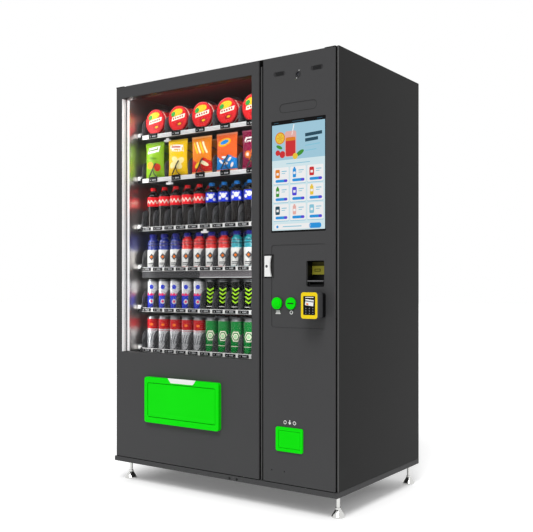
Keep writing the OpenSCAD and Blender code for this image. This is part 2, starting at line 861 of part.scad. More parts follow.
module stock_bottles() {
    cap_r = 14;
    neck_r = 12;
    cap_h = 18;
    profile = [[0, 0], [0.85*bottle_r, 0], [bottle_r, 8], [bottle_r, 0.3*bottle_h],
               [0.93*bottle_r, 0.4*bottle_h], [bottle_r, 0.52*bottle_h], [bottle_r, 0.68*bottle_h],
               [neck_r, bottle_h - cap_h - 8],
               [neck_r, bottle_h - cap_h], [cap_r, bottle_h - cap_h], [cap_r, bottle_h], [0, bottle_h]];
    color("#3a1512") drink_row(level_3, profile);
}

module stock_sports_bottles() {
    cap_r = 18;
    cap_h = 20;
    profile = [[0, 0], [0.9*sport_r, 0], [sport_r, 6], [sport_r, 0.5*sport_h], [0.88*sport_r, 0.58*sport_h],
               [sport_r, 0.66*sport_h], [sport_r, 0.76*sport_h], [cap_r - 2, sport_h - cap_h - 4],
               [cap_r - 2, sport_h - cap_h], [cap_r, sport_h - cap_h], [cap_r, sport_h], [0, sport_h]];
    color("#3a4aa8") drink_row(level_4, profile);
}

function can_profile(r, h) = [[0, 0], [0.8*r, 0], [r, 0.25*r], [r, h - 0.4*r], [0.84*r, h - 0.1*r],
                              [0.84*r, h], [0, h]];

module stock_slim_cans() {
    color("#3f62b8") drink_row(level_5, can_profile(slim_r, slim_h));
}

module stock_cans() {
    color("#c8262c") drink_row(level_6, can_profile(can_r, can_h));
}

// Slim upright lamps on the side liners, close behind the door's inner frame
module light_bars() {
    lamp_w = 6;
    lamp_d = 16;
    lamp_y = plug_y + 2;
    lamp_foot = 30;
    lamp_head = 20;
    color("white") for (x = [bay_x0, bay_x1 - lamp_w])
        slab(x, x + lamp_w, lamp_y, lamp_y + lamp_d, deck_z1 + lamp_foot, roof_z0 - sheet_t - lamp_head);
}

// Cooling unit and electrics

cooler_in = 200;
cooler_x = bay_x0 + cooler_in;
compressor_step = 360;
compressor_x = cooler_x + compressor_step;
shroud_w = 250;
shroud_rim = 11;
shroud_d = 44;
fan_tip_gap = 4;
fan_ring_r = shroud_w/2 - shroud_rim;
fan_r = fan_ring_r - fan_tip_gap;
core_d = 50;
core_back = 40;
core_y = rear_y - core_back - core_d;
shroud_y = core_y - shroud_d;
fan_z = base_z1 + shroud_w/2;
fan_shaft_r = 3;
fan_hub_r = 24;
fan_hub_l = 22;
fan_y = shroud_y + 12;
bracket_t = 4;

module compressor() {
    can_radius = 84;
    can_height = 170;
    foot_w = 220;
    foot_d = 140;
    foot_t = 8;
    back = 170;
    color(black) translate([compressor_x, rear_y - back, base_z1]) {
        slab(-foot_w/2, foot_w/2, -foot_d/2, foot_d/2, 0, foot_t);
        difference() {
            union() {
                cylinder(r = can_radius, h = foot_t + can_height);
                translate([0, 0, foot_t + can_height]) sphere(r = can_radius);
            }
            translate([0, 0, foot_t + can_height + 0.5*can_radius])
                cylinder(r = 2*can_radius, h = can_radius);
        }
    }
}

// Finned core, ring shroud, and the motor that carries the fan on a bracket across the shroud
module condenser() {
    motor_r = 26;
    motor_l = 40;
    bracket_w = 30;
    color(steel) {
        slab(cooler_x - shroud_w/2, cooler_x + shroud_w/2, core_y, core_y + core_d,
             base_z1, base_z1 + shroud_w);
        difference() {
            slab(cooler_x - shroud_w/2, cooler_x + shroud_w/2, shroud_y, core_y, base_z1, base_z1 + shroud_w);
            y_pin(cooler_x, fan_z, fan_ring_r, shroud_y - past, core_y + past);
        }
        difference() {
            union() {
                slab(cooler_x - shroud_w/2, cooler_x + shroud_w/2, shroud_y - bracket_t, shroud_y,
                     fan_z - bracket_w/2, fan_z + bracket_w/2);
                y_pin(cooler_x, fan_z, motor_r, shroud_y - bracket_t - motor_l, shroud_y - bracket_t/2);
            }
            y_pin(cooler_x, fan_z, fan_shaft_r + run_clear,
                  shroud_y - bracket_t - motor_l/2, shroud_y + past);
        }
    }
}

module condenser_fan() {
    blade_t = 2;
    blade_w = 15;
    blades = 5;
    color(black) union() {
        y_pin(cooler_x, fan_z, fan_hub_r, fan_y, fan_y + fan_hub_l);
        y_pin(cooler_x, fan_z, fan_shaft_r, shroud_y - bracket_t - 10, fan_y + past);
        for (k = [0:blades - 1])
            translate([cooler_x, fan_y + fan_hub_l/2, fan_z]) rotate([0, 360*k/blades, 0])
                rotate([0, 0, 35]) slab(-blade_w, blade_w, -blade_t/2, blade_t/2, fan_hub_r - 4, fan_r - 6);
    }
}

// Insulated evaporator box hung under the deck
module evaporator() {
    side = 60;
    back = 30;
    box_w = 360;
    box_d = 300;
    box_h = 160;
    color(bright) slab(bay_x0 + side, bay_x0 + side + box_w, rear_y - back - box_d, rear_y - back,
                       deck_z0 - box_h, deck_z0);
}

module control_box() {
    side = 60;
    up = 700;
    box_h = 320;
    box_d = 90;
    fins = 8;
    fin_t = 3;
    fin_d = 20;
    fin_step = 20;
    fin_end = 40;
    color(steel) {
        slab(div_x1 + side, x_ri - side, rear_y - box_d, rear_y, base_z1 + up, base_z1 + up + box_h);
        for (i = [1:fins])
            slab(div_x1 + side + fin_step*i, div_x1 + side + fin_step*i + fin_t, rear_y - box_d - fin_d,
                 rear_y - box_d, base_z1 + up + fin_end, base_z1 + up + box_h - fin_end);
    }
}

// Glass door

module door_leaf(x0, x1) {
    translate([(x0 + x1)/2, (door_y + leaf_y)/2, door_z0])
        linear_extrude(door_z1 - door_z0) polygon(round_rect(x1 - x0, leaf_t, leaf_edge_r));
}

module hinge_bores(x) {
    z_pin(x, hinge_y, pin_r + run_clear, door_z0 - past, door_z0 + pin_depth + past);
    z_pin(x, hinge_y, pin_r + run_clear, door_z1 - pin_depth - past, door_z1 + past);
}

module glass_door_frame() {
    sleeve_w = mouth_w + 2*sleeve_t + 2*fit_clear;
    sleeve_h = mouth_h + 2*sleeve_t + 2*fit_clear;
    color(charcoal) difference() {
        union() {
            door_leaf(glass_x0, glass_x1);
            slab(glass_plug_x0, glass_plug_x1, leaf_y, plug_y, plug_z0, plug_z1);
        }
        slab(window_x0, window_x1, door_y - past, plug_y + past, window_z0, window_z1);
        slab(window_x0 - pane_lap, window_x1 + pane_lap, leaf_y, leaf_y + glazing_t,
             window_z0 - pane_lap, window_z1 + pane_lap);
        slab(glass_plug_x0 + plug_t, glass_plug_x1 - plug_t, leaf_y, plug_y + past,
             plug_z0 + plug_t, window_z0 - sill_bar);
        face_plate(glass_cx, bezel_cz, sleeve_w, sleeve_h, mouth_r + sleeve_t, door_y - past, leaf_y + past);
        hinge_bores(-hinge_x);
    }
}

module window_panes() {
    pane_in = pane_lap - fit_clear;
    color("#b8d4dc", 0.35) for (y = [leaf_y, leaf_y + pane_t + pane_gap])
        slab(window_x0 - pane_in, window_x1 + pane_in, y, y + pane_t,
             window_z0 - pane_in, window_z1 + pane_in);
}

module door_seal() {
    color(black) difference() {
        slab(glass_plug_x0 - seal_w, glass_plug_x1 + seal_w, leaf_y, leaf_y + seal_t,
             plug_z0 - door_base_gap, plug_z1 + seal_w);
        slab(glass_plug_x0, glass_plug_x1, leaf_y - past, leaf_y + seal_t + past, plug_z0, plug_z1);
    }
}

module delivery_bezel() {
    color(green) difference() {
        union() {
            face_plate(glass_cx, bezel_cz, bezel_w, bezel_h, bezel_r, bezel_y, door_y);
            face_plate(glass_cx, bezel_cz, mouth_w + 2*sleeve_t, mouth_h + 2*sleeve_t, mouth_r + sleeve_t,
                       door_y - past, sleeve_y);
        }
        face_plate(glass_cx, bezel_cz, mouth_w, mouth_h, mouth_r, bezel_y - past, sleeve_y + past);
        x_pin(flap_pin_y, flap_pin_z, flap_pin_r + run_clear, glass_cx - mouth_w/2 - flap_pin_reach - past,
              glass_cx + mouth_w/2 + flap_pin_reach + past);
    }
}

module bezel_tab() {
    foot_w = tab_w - 36;
    tab_z1 = bezel_cz + bezel_h/2 + tab_up;
    color("white") translate([glass_cx + tab_x, bezel_y, tab_z1 - tab_h]) rotate([90, 0, 0])
        linear_extrude(tab_t) polygon([[-foot_w/2, 0], [foot_w/2, 0], [tab_w/2, tab_h], [-tab_w/2, tab_h]]);
}

// Flap hung on two pins at its top edge, it swings inwards
module delivery_flap() {
    color(green) union() {
        face_plate(glass_cx, bezel_cz, flap_w, flap_h, flap_r, flap_y, flap_y + flap_t);
        x_pin(flap_pin_y, flap_pin_z, flap_pin_r, glass_cx - mouth_w/2 - flap_pin_reach,
              glass_cx + mouth_w/2 + flap_pin_reach);
    }
}

// Control door

module speaker_places() {
    for (side = [-1, 1]) translate([control_cx + side*speaker_x, 0, door_z1 - speaker_drop]) children();
}

// Finger pocket of the lock, let into the leaf and into the payment plate's edge
module lock_pocket() {
    slab(pocket_x0, pocket_x1, door_y - past, door_y + pocket_d, lock_cz - pocket_h/2, lock_cz + pocket_h/2);
}

module control_door_panel() {
    sleeve_w = cup_mouth_w + 2*cup_wall + 2*fit_clear;
    sleeve_h = cup_mouth_h + 2*cup_wall + 2*fit_clear;
    strip_sunk = 2.5;
    screw_r = 3;
    color(charcoal) difference() {
        union() {
            door_leaf(control_x0, control_x1);
            slab(control_plug_x0, control_plug_x1, leaf_y, plug_y, plug_z0, plug_z1);
        }
        slab(control_plug_x0 + plug_t, control_plug_x1 - plug_t, leaf_y, plug_y + past,
             plug_z0 + plug_t, plug_z1 - plug_t);
        face_plate(control_cx, screen_cz, screen_w + 2*fit_clear, screen_h + 2*fit_clear, 4,
                   door_y - past, leaf_y + past);
        face_plate(control_cx, plate_cz, plate_w + 2*fit_clear, plate_h + 2*fit_clear, plate_r + fit_clear,
                   door_y - past, leaf_y + past);
        speaker_places() face_plate(0, 0, speaker_w + 2*fit_clear, speaker_h + 2*fit_clear,
                                    speaker_h/2, door_y - past, leaf_y + past);
        y_pin(control_cx, door_z1 - camera_drop, camera_r + fit_clear, door_y - past, leaf_y + past);
        face_plate(control_cx, door_z1 - strip_drop, strip_w + 2*fit_clear, strip_h + 2*fit_clear, strip_h/2,
                   door_y - past, door_y + strip_sunk);
        lock_pocket();
        slab(cup_cx - sleeve_w/2, cup_cx + sleeve_w/2, door_y - past, leaf_y + past,
             cup_cz - sleeve_h/2, cup_cz + sleeve_h/2);
        for (x = [control_x0 + 47, control_x0 + 113])
            y_pin(x, door_z0 + 51, screw_r, door_y - past, door_y + leaf_t/2);
        hinge_bores(hinge_x);
        // Bores of the paddle's pivot pins, above and below the pocket
        z_pin(paddle_axis_x, paddle_axis_y, paddle_pin_r + run_clear,
              lock_cz - pocket_h/2 - paddle_pin_l - past, lock_cz + pocket_h/2 + paddle_pin_l + past);
    }
}

module touch_screen() {
    color(black) union() {
        face_plate(control_cx, screen_cz, screen_w, screen_h, 4, door_y + screen_sunk, leaf_y + past);
        slab(control_cx - screen_w/2 - screen_lip, control_cx + screen_w/2 + screen_lip,
             leaf_y, leaf_y + screen_d,
             screen_cz - screen_h/2 - screen_lip, screen_cz + screen_h/2 + screen_lip);
    }
}

module speaker_grilles() {
    slots = 4;
    slot_h = 2;
    slot_w = speaker_w - speaker_h;
    rim = 4;
    color(black) speaker_places() difference() {
        union() {
            face_plate(0, 0, speaker_w, speaker_h, speaker_h/2 - fit_clear, door_y + 1, leaf_y + past);
            face_plate(0, 0, speaker_w + 2*rim, speaker_h + 2*rim, speaker_h/2, leaf_y, leaf_y + 3);
        }
        for (i = [0:slots - 1]) {
            slot_z = (i - slots/2 + 0.5)*speaker_h/(slots + 1);
            slab(-slot_w/2, slot_w/2, door_y, leaf_y + 5, slot_z - slot_h/2, slot_z + slot_h/2);
        }
    }
}

module camera() {
    lens_r = 0.6*camera_r;
    camera_z = door_z1 - camera_drop;
    color(black) difference() {
        union() {
            y_pin(control_cx, camera_z, camera_r, door_y - 2, leaf_y + past);
            slab(control_cx - 1.5*camera_r, control_cx + 1.5*camera_r, leaf_y, leaf_y + 22,
                 camera_z - 1.5*camera_r, camera_z + 1.5*camera_r);
        }
        y_pin(control_cx, camera_z, lens_r, door_y - 3, door_y + 2);
    }
}

module cover_strip() {
    strip_t = 1.5;
    color(charcoal) face_plate(control_cx, door_z1 - strip_drop, strip_w, strip_h, strip_h/2 - fit_clear,
                               door_y + 2.5 - strip_t, door_y + 2.5);
}

module payment_plate() {
    color("#434344") difference() {
        union() {
            face_plate(control_cx, plate_cz, plate_w, plate_h, plate_r, plate_y, leaf_y + past);
            face_plate(control_cx, plate_cz, plate_w + 2*plate_lip, plate_h + 2*plate_lip, plate_r,
                       leaf_y, plate_back);
        }
        face_plate(bill_x, bill_z, bill_w, bill_h, 6, plate_y - past, plate_back + past);
        y_pin(coin_cx, round_cz, round_stem_r + run_clear, plate_y - past, plate_back + past);
        y_pin(button_cx, round_cz, round_stem_r + run_clear, plate_y - past, plate_back + past);
        lock_pocket();
    }
}

// Deep pocket with a lip and a note slot at its foot, and the note stacker behind it
module bill_acceptor() {
    stacker_d = 80;
    lip_h = 28;
    slot_w = bill_w - 20;
    slot_h = 9;
    slot_d = bill_d - 6;
    back = plate_back + bill_d + bill_wall + stacker_d;
    foot_z = bill_z - bill_h/2;
    color(black) difference() {
        slab(bill_x - bill_w/2 - bill_wall, bill_x + bill_w/2 + bill_wall, plate_back, back,
             foot_z - bill_wall, bill_z + bill_h/2 + bill_wall);
        slab(bill_x - bill_w/2, bill_x + bill_w/2, plate_back - past, plate_back + bill_d,
             foot_z + lip_h, bill_z + bill_h/2);
        slab(bill_x - slot_w/2, bill_x + slot_w/2, plate_back - past, plate_back + slot_d,
             foot_z + lip_h/2 - slot_h/2, foot_z + lip_h/2 + slot_h/2);
    }
}

// Neck and shell of the card terminal, seated on the door beside the payment plate
module card_terminal() {
    shell_y = term_y + terminal_face_t;
    boss_r = 8;
    color(black) union() {
        face_plate(terminal_cx, terminal_cz, terminal_w, terminal_h, terminal_r, shell_y, terminal_step_y);
        face_plate(terminal_cx, terminal_cz, terminal_w - 2*terminal_neck, terminal_h - 2*terminal_neck,
                   terminal_r - terminal_neck/2, terminal_step_y - past, door_y);
        y_pin(terminal_cx - terminal_w/4, terminal_cz, boss_r, door_y - past, plate_y);
    }
}

module terminal_face() {
    screen_in = 11;
    screen_sink = 2;
    color(yellow) difference() {
        face_plate(terminal_cx, terminal_cz, terminal_w, terminal_h, terminal_r,
                   term_y, term_y + terminal_face_t);
        face_plate(terminal_cx, terminal_cz, terminal_w - 2*screen_in, terminal_h - 2*screen_in - 8, 4,
                   term_y - past, term_y + screen_sink);
    }
}

module coin_entry() {
    slot_w = 30;
    slot_h = 3.2;
    color(green) difference() {
        union() {
            y_pin(coin_cx, round_cz, round_r, plate_y - round_head_t, plate_y);
            y_pin(coin_cx, round_cz, round_stem_r, plate_y - past, plate_back + 4);
        }
        slab(coin_cx - slot_w/2, coin_cx + slot_w/2, plate_y - round_head_t - past, plate_y - round_head_t/2,
             round_cz - slot_h/2, round_cz + slot_h/2);
        slab(coin_cx - round_stem_r + 2, coin_cx + round_stem_r - 2, plate_y - round_head_t - past,
             plate_back + 5, round_cz - slot_h/2, round_cz + slot_h/2);
    }
}

module change_button() {
    retainer_r = round_stem_r + 4;
    head_y1 = plate_y - button_travel - pass_clear;
    color(green) union() {
        y_pin(button_cx, round_cz, round_r, head_y1 - round_head_t, head_y1);
        y_pin(button_cx, round_cz, round_stem_r, head_y1 - past, plate_back + pass_clear + past);
        y_pin(button_cx, round_cz, retainer_r, plate_back + pass_clear, plate_back + pass_clear + 3);
    }
}

// Coin changer hung behind the payment plate, with the cash box at its side
module coin_mechanism() {
    changer_x = coin_cx + 8;
    changer_x1 = changer_x + changer_w/2;
    changer_z1 = round_cz - round_stem_r - 5;
    color(dark_grey) {
        slab(changer_x - changer_w/2, changer_x1, plate_back, plate_back + changer_d,
             changer_z1 - changer_h, changer_z1);
        slab(changer_x1, changer_x1 + cash_w, plate_back, plate_back + changer_d,
             changer_z1 - cash_h, changer_z1);
    }
}

// Pull paddle on a barrel with pivot pins above and below
module lock_paddle() {
    front_y = paddle_axis_y - paddle_t;
    bite_r = 1.6*paddle_h;
    bite_d = 7;
    color("white") difference() {
        union() {
            z_pin(paddle_axis_x, paddle_axis_y, barrel_r, lock_cz - paddle_h/2, lock_cz + paddle_h/2);
            z_pin(paddle_axis_x, paddle_axis_y, paddle_pin_r,
                  lock_cz - pocket_h/2 - paddle_pin_l, lock_cz + pocket_h/2 + paddle_pin_l);
            slab(paddle_axis_x, paddle_x1, front_y, front_y + paddle_t,
                 lock_cz - paddle_h/2, lock_cz + paddle_h/2);
        }
        y_pin(key_x, key_cz, key_r + run_clear, front_y - past, front_y + paddle_t + past);
        y_pin(paddle_x1 + bite_r - bite_d, lock_cz, bite_r, front_y - past, front_y + paddle_t + past);
    }
}

module lock_cylinder() {
    slot_w = 1.6;
    front_y = paddle_axis_y - paddle_t;
    color(steel) difference() {
        y_pin(key_x, key_cz, key_r, front_y - 1, front_y + paddle_t - key_short);
        slab(key_x - slot_w/2, key_x + slot_w/2, front_y - 2, front_y + 3,
             key_cz - key_r/2, key_cz + key_r/2);
    }
}

// Bezel, sleeve and cup of the coin return in one moulding
module coin_cup() {
    color(green) difference() {
        union() {
            face_plate(cup_cx, cup_cz, cup_bezel_w, cup_bezel_h, 9, cup_y, door_y);
            slab(cup_cx - cup_mouth_w/2 - cup_wall, cup_cx + cup_mouth_w/2 + cup_wall, door_y - past, cup_y1,
                 cup_cz - cup_mouth_h/2 - cup_wall, cup_cz + cup_mouth_h/2 + cup_wall);
        }
        slab(cup_cx - cup_mouth_w/2, cup_cx + cup_mouth_w/2, cup_y - past, cup_y1 - cup_wall,
             cup_cz - cup_mouth_h/2, cup_cz + cup_mouth_h/2);
        x_pin(coin_pin_y, coin_pin_z, coin_pin_r + run_clear, cup_cx - cup_mouth_w/2 - coin_pin_reach - past,
              cup_cx + cup_mouth_w/2 + coin_pin_reach + past);
    }
}

module coin_flap() {
    color(green) union() {
        face_plate(cup_cx, cup_cz, cup_mouth_w - 2*flap_gap, cup_mouth_h - 2*flap_gap, 3,
                   coin_flap_y, coin_flap_y + coin_flap_t);
        x_pin(coin_pin_y, coin_pin_z, coin_pin_r, cup_cx - cup_mouth_w/2 - coin_pin_reach,
              cup_cx + cup_mouth_w/2 + coin_pin_reach);
    }
}

base_tray();
levelling_feet();
left_side_panel();
right_side_panel();
rear_panel();
top_panel();
compartment_divider();
chiller_liner();
machine_deck();
delivery_bin();
door_hinges();
tray_runners();
trays();
lane_dividers();
price_rails();
spiral_motors();
for (lane = [1:snack_lanes]) snack_spiral(lane, level_1);
for (lane = [1:snack_lanes]) cup_stack(lane);
bag_spirals();
stock_bags();
stock_bottles();
stock_sports_bottles();
stock_slim_cans();
stock_cans();
light_bars();
compressor();
condenser();
condenser_fan();
evaporator();
control_box();
glass_door_frame();
window_panes();
door_seal();
delivery_bezel();
bezel_tab();
delivery_flap();
control_door_panel();
touch_screen();
speaker_grilles();
camera();
cover_strip();
payment_plate();
bill_acceptor();
card_terminal();
terminal_face();
coin_entry();
change_button();
coin_mechanism();
lock_paddle();
lock_cylinder();
coin_cup();
coin_flap();
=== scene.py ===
import math

import bmesh
import bpy
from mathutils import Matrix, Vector


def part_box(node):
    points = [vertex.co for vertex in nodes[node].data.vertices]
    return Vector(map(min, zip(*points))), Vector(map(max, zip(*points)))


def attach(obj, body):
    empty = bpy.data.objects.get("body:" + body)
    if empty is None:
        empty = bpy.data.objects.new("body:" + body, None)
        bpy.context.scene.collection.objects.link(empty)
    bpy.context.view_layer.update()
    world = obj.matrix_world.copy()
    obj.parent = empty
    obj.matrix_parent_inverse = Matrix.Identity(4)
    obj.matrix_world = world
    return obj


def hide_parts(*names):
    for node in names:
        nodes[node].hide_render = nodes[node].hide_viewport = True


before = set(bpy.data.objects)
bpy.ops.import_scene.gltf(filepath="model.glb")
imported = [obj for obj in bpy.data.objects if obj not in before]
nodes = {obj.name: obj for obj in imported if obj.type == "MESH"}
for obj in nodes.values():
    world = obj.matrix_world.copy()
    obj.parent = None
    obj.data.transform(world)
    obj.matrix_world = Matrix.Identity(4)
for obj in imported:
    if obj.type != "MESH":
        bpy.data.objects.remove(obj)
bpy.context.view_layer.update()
scene = bpy.context.scene
scene.view_settings.view_transform = "Standard"
MM = 0.001

# The room: a pale seamless floor in a bright studio. The camera stands at the machine's right,
# level with its middle, and one wide soft lamp stands high in front.
CAMERA_AT = (2.3125, -3.0620, 0.9749)
CAMERA_TURN = 33.17
FOCAL_PX = 786.4
IMAGE_W, IMAGE_H = 533, 532
AXIS_PX = (314.7, 282.36)
camera_data = bpy.data.cameras.new("studio_camera")
camera_data.sensor_width = 36
camera_data.lens = 36 * FOCAL_PX / IMAGE_W
camera_data.shift_x = (IMAGE_W / 2 - AXIS_PX[0]) / IMAGE_W
camera_data.shift_y = (AXIS_PX[1] - IMAGE_H / 2) / IMAGE_W
camera = bpy.data.objects.new("studio_camera", camera_data)
camera.location = CAMERA_AT
camera.rotation_euler = (math.radians(90), 0, math.radians(CAMERA_TURN))
scene.collection.objects.link(camera)
scene.camera = camera


def rgb(hex_colour, level=1):
    """sRGB hex to linear colour, darker or lighter by a level."""
    parts = [int(hex_colour[i : i + 2], 16) / 255 for i in (1, 3, 5)]
    linear = [p / 12.92 if p <= 0.04045 else ((p + 0.055) / 1.055) ** 2.4 for p in parts]
    return [min(1, p * level) for p in linear] + [1]


def plug(tree, node, inputs):
    """Fills a node's sockets, each with a value, a socket or another node's first output."""
    for name, value in dict(inputs).items():
        if isinstance(value, bpy.types.Node):
            value = next(out for out in value.outputs if out.enabled)
        if isinstance(value, bpy.types.NodeSocket):
            tree.links.new(value, node.inputs[name])
        else:
            node.inputs[name].default_value = value


def add(tree, kind, inputs=(), **settings):
    """Adds one shader node with its settings, values and links."""
    made = tree.nodes.new("ShaderNode" + kind)
    for name, value in settings.items():
        setattr(made, name, value)
    plug(tree, made, inputs)
    return made


def seen(tree):
    """1 where a surface is looked at, also in a mirror or through glass, and 0 where it lights others."""
    ray = add(tree, "LightPath").outputs
    looked_at = add(tree, "Math", {0: ray["Is Camera Ray"], 1: ray["Is Glossy Ray"]})
    return add(tree, "Math", {0: looked_at, 1: ray["Is Transmission Ray"]}, use_clamp=True)


key_light = bpy.data.lights.new("studio_key", "SUN")
key_light.energy, key_light.angle = 1.75, math.radians(24)
key = bpy.data.objects.new("studio_key", key_light)
key.rotation_euler = Vector((-0.2, 0.54, -0.819)).to_track_quat("-Z", "Y").to_euler()
scene.collection.objects.link(key)

room = bpy.data.worlds.new("studio_room")
room.use_nodes = True
scene.world = room
room_tree = room.node_tree
room_level = add(room_tree, "MapRange", {"Value": seen(room_tree), "To Min": 0.5, "To Max": 1.0})
plug(room_tree, room_tree.nodes["Background"], {"Color": rgb("#ffffff"), "Strength": room_level})


# Floor of matt white studio paint, self-lit for the camera so that it meets the white backdrop.
# The glow is weaker under and near the machine: painted shade there, on top of the real shadow.
def off(tree, axis, middle=0, space="Object"):
    """How far a point, or what it faces, lies off a middle along one axis."""
    at = add(tree, "SeparateXYZ", {0: add(tree, "TexCoord").outputs[space]})
    past = add(tree, "Math", {0: at.outputs[axis], 1: middle}, operation="SUBTRACT")
    return add(tree, "Math", {0: past}, operation="ABSOLUTE")


def new_material(name, sockets=()):
    """A material with its shader's plain values set, and its node tree."""
    material = bpy.data.materials.new(name)
    material.use_nodes = True
    tree = material.node_tree
    plug(tree, tree.nodes["Principled BSDF"], sockets)
    return material, tree


floor_paint, tree = new_material("matt_white_studio_floor")
tree.nodes.remove(tree.nodes["Principled BSDF"])
beside = add(tree, "MapRange", {"Value": off(tree, "X"), "From Min": 0.50, "From Max": 0.80})
before = add(tree, "MapRange", {"Value": off(tree, "Y"), "From Min": 0.20, "From Max": 0.46})
clear = add(tree, "Math", {0: beside, 1: before}, operation="MAXIMUM")
floor_level = add(tree, "MapRange", {"Value": clear, "To Min": 0.15, "To Max": 0.42})
floor_glow = add(tree, "Math", {0: seen(tree), 1: floor_level}, operation="MULTIPLY")
floor_matt = add(tree, "BsdfDiffuse", {"Color": rgb("#f2f2f2")})
floor_lit = add(tree, "Emission", {"Color": rgb("#ffffff"), "Strength": floor_glow})
floor_mix = add(tree, "AddShader", {0: floor_matt, 1: floor_lit})
plug(tree, tree.nodes["Material Output"], {"Surface": floor_mix})
bpy.ops.mesh.primitive_plane_add(size=60, location=(0, 0, 0))
floor = bpy.context.object
floor.name = "studio_floor"
floor.data.materials.append(floor_paint)

# Cabinet shell: folded sheet steel panels, powder coated charcoal, on a low base tray.
# Powder coat is matt with a fine orange peel; the peel is drawn coarser than life so that it shows.
RELIEF = 0.05 * MM
FOLD_X = 638 * MM


def paint(material, pattern, low, high):
    """Colours a material from low to high as a pattern goes from 0 to 1."""
    tree = material.node_tree
    tone = add(tree, "Mix", {"Factor": pattern, "A": low, "B": high}, data_type="RGBA")
    plug(tree, tree.nodes["Principled BSDF"], {"Base Color": tone})
    return tone


def grained(name, grain_mm, rough, sockets=(), tones=None, detail=2, bump=0):
    """A material with a grain, which moves its roughness between two values; tones and bump show it more."""
    material, tree = new_material(name, sockets)
    place = add(tree, "TexCoord").outputs["Object"]
    grain = add(tree, "TexNoise", {"Vector": place, "Scale": 1 / (grain_mm * MM), "Detail": detail})
    if isinstance(rough, tuple):
        rough = add(tree, "MapRange", {"Value": grain, "To Min": rough[0], "To Max": rough[1]})
    shader = tree.nodes["Principled BSDF"]
    plug(tree, shader, {"Roughness": rough})
    if tones:
        paint(material, grain, *tones)
    if bump:
        relief = add(tree, "Bump", {"Strength": bump, "Distance": RELIEF, "Height": grain})
        plug(tree, shader, {"Normal": relief})
    return material


def powder_coat(name, colour, roughness=0.5, peel_mm=1.6, gloss=0.12, front=None):
    """Powder coat; front, if given, paints the edges folded to the front with a painted highlight, and black
    painted shadow beside the door's edge.
    """
    rough = (roughness - 0.05, roughness + 0.06)
    material = grained(name, peel_mm, rough, {"Specular IOR Level": gloss}, bump=0.25)
    tree = material.node_tree
    place = add(tree, "TexCoord").outputs
    drift = add(tree, "TexNoise", {"Vector": place["Object"], "Scale": 1 / (420 * MM), "Detail": 3})
    tone = paint(material, drift, rgb(colour, 0.94), rgb(colour, 1.06))
    if front:
        facing = add(tree, "SeparateXYZ", {0: place["Normal"]})
        ahead = add(tree, "Math", {0: facing.outputs["Y"], 1: -0.7}, operation="LESS_THAN")
        outer = add(tree, "Math", {0: off(tree, "X"), 1: FOLD_X}, operation="GREATER_THAN")
        fold = paint(material, outer, rgb("#060606"), rgb(front))
        paint(material, ahead, tone, fold)
    return material


def dress(names, material, edge_mm=0):
    """Gives CAD nodes a material, and eased edges where the real piece has them."""
    for name in names:
        mesh = nodes[name].data
        mesh.materials.clear()
        mesh.materials.append(material)
        if edge_mm:
            weld = nodes[name].modifiers.new("weld", "WELD")
            weld.merge_threshold = 0.01 * MM
            edge = nodes[name].modifiers.new("edge", "BEVEL")
            edge.width = edge_mm * MM
            edge.segments = 2
            edge.limit_method = "ANGLE"
            edge.angle_limit = math.radians(40)


charcoal_coat = powder_coat("charcoal_powder_coat", "#454546")
# The sides and top take a darker copy of the coat: painted shade for the less light they get. Their front
# edges get a painted highlight, with painted shadow by the door.
side_coat = powder_coat("charcoal_powder_coat_side", "#292929", roughness=0.42, gloss=0.05, front="#626262")
dark_coat = powder_coat("black_powder_coat", "#161617", roughness=0.45)
dress(["left_side_panel", "right_side_panel", "top_panel"], side_coat, 1.2)
dress(["base_tray"], charcoal_coat, 1.0)
# The divider between the doors is black, painted shade for the gaps, with a grey strip lightened to show in
# that shade: painted light.
MULLION_X, STRIP_HALF = 252 * MM, 3 * MM
mullion = grained("grey_mullion_strip_in_black", 1.6, (0.4, 0.55), {"Specular IOR Level": 0.1})
tree = mullion.node_tree
strip = add(tree, "Math", {0: off(tree, "X", MULLION_X), 1: STRIP_HALF}, operation="LESS_THAN")
paint(mullion, strip, rgb("#070707"), rgb("#5e5e5e"))
dress(["compartment_divider"], mullion, 1.0)


def make_piece(name, bm, materials, body, smooth_deg=40):
    """Turns a bmesh into a named piece that rides on a CAD body."""
    bmesh.ops.recalc_face_normals(bm, faces=bm.faces)
    mesh = bpy.data.meshes.new(name)
    bm.to_mesh(mesh)
    bm.free()
    for material in materials:
        mesh.materials.append(material)
    mesh.shade_smooth()
    mesh.set_sharp_from_angle(angle=math.radians(smooth_deg))
    piece = bpy.data.objects.new(name, mesh)
    scene.collection.objects.link(piece)
    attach(piece, body)
    return piece


def bridge(bm, low, high, slot=0):
    """Faces between two rings of points; a ring of one point is a pole."""
    count = max(len(low), len(high))
    for i in range(count):
        n = (i + 1) % count
        if len(low) == 1:
            corners = (low[0], high[n], high[i])
        elif len(high) == 1:
            corners = (low[i], low[n], high[0])
        else:
            corners = (low[i], low[n], high[n], high[i])
        bm.faces.new(corners).material_index = slot


def round_corners(cx, cz, w, h, r, steps=6):
    """Outline of an upright plate with round corners, in mm."""
    points = []
    for sx, sz, start in ((1, 1, 0), (-1, 1, 90), (-1, -1, 180), (1, -1, 270)):
        for i in range(steps + 1):
            a = math.radians(start + 90 * i / steps)
            points.append((cx + sx * (w / 2 - r) + r * math.cos(a), cz + sz * (h / 2 - r) + r * math.sin(a)))
    return points


def round_plate(bm, cx, cz, w, h, r, y0, y1, ease=0.0):
    """Upright plate with round corners between two depths, its front edge eased; sizes in mm."""
    rings = []
    for y, inset in ((y0, ease), (y0 + ease, 0), (y1, 0)) if ease else ((y0, 0), (y1, 0)):
        outline = round_corners(cx, cz, w - 2 * inset, h - 2 * inset, r - inset)
        rings.append([bm.verts.new((x * MM, y * MM, z * MM)) for x, z in outline])
    for low, high in zip(rings, rings[1:]):
        bridge(bm, low, high)
    bm.faces.new(list(reversed(rings[0])))
    bm.faces.new(rings[-1])


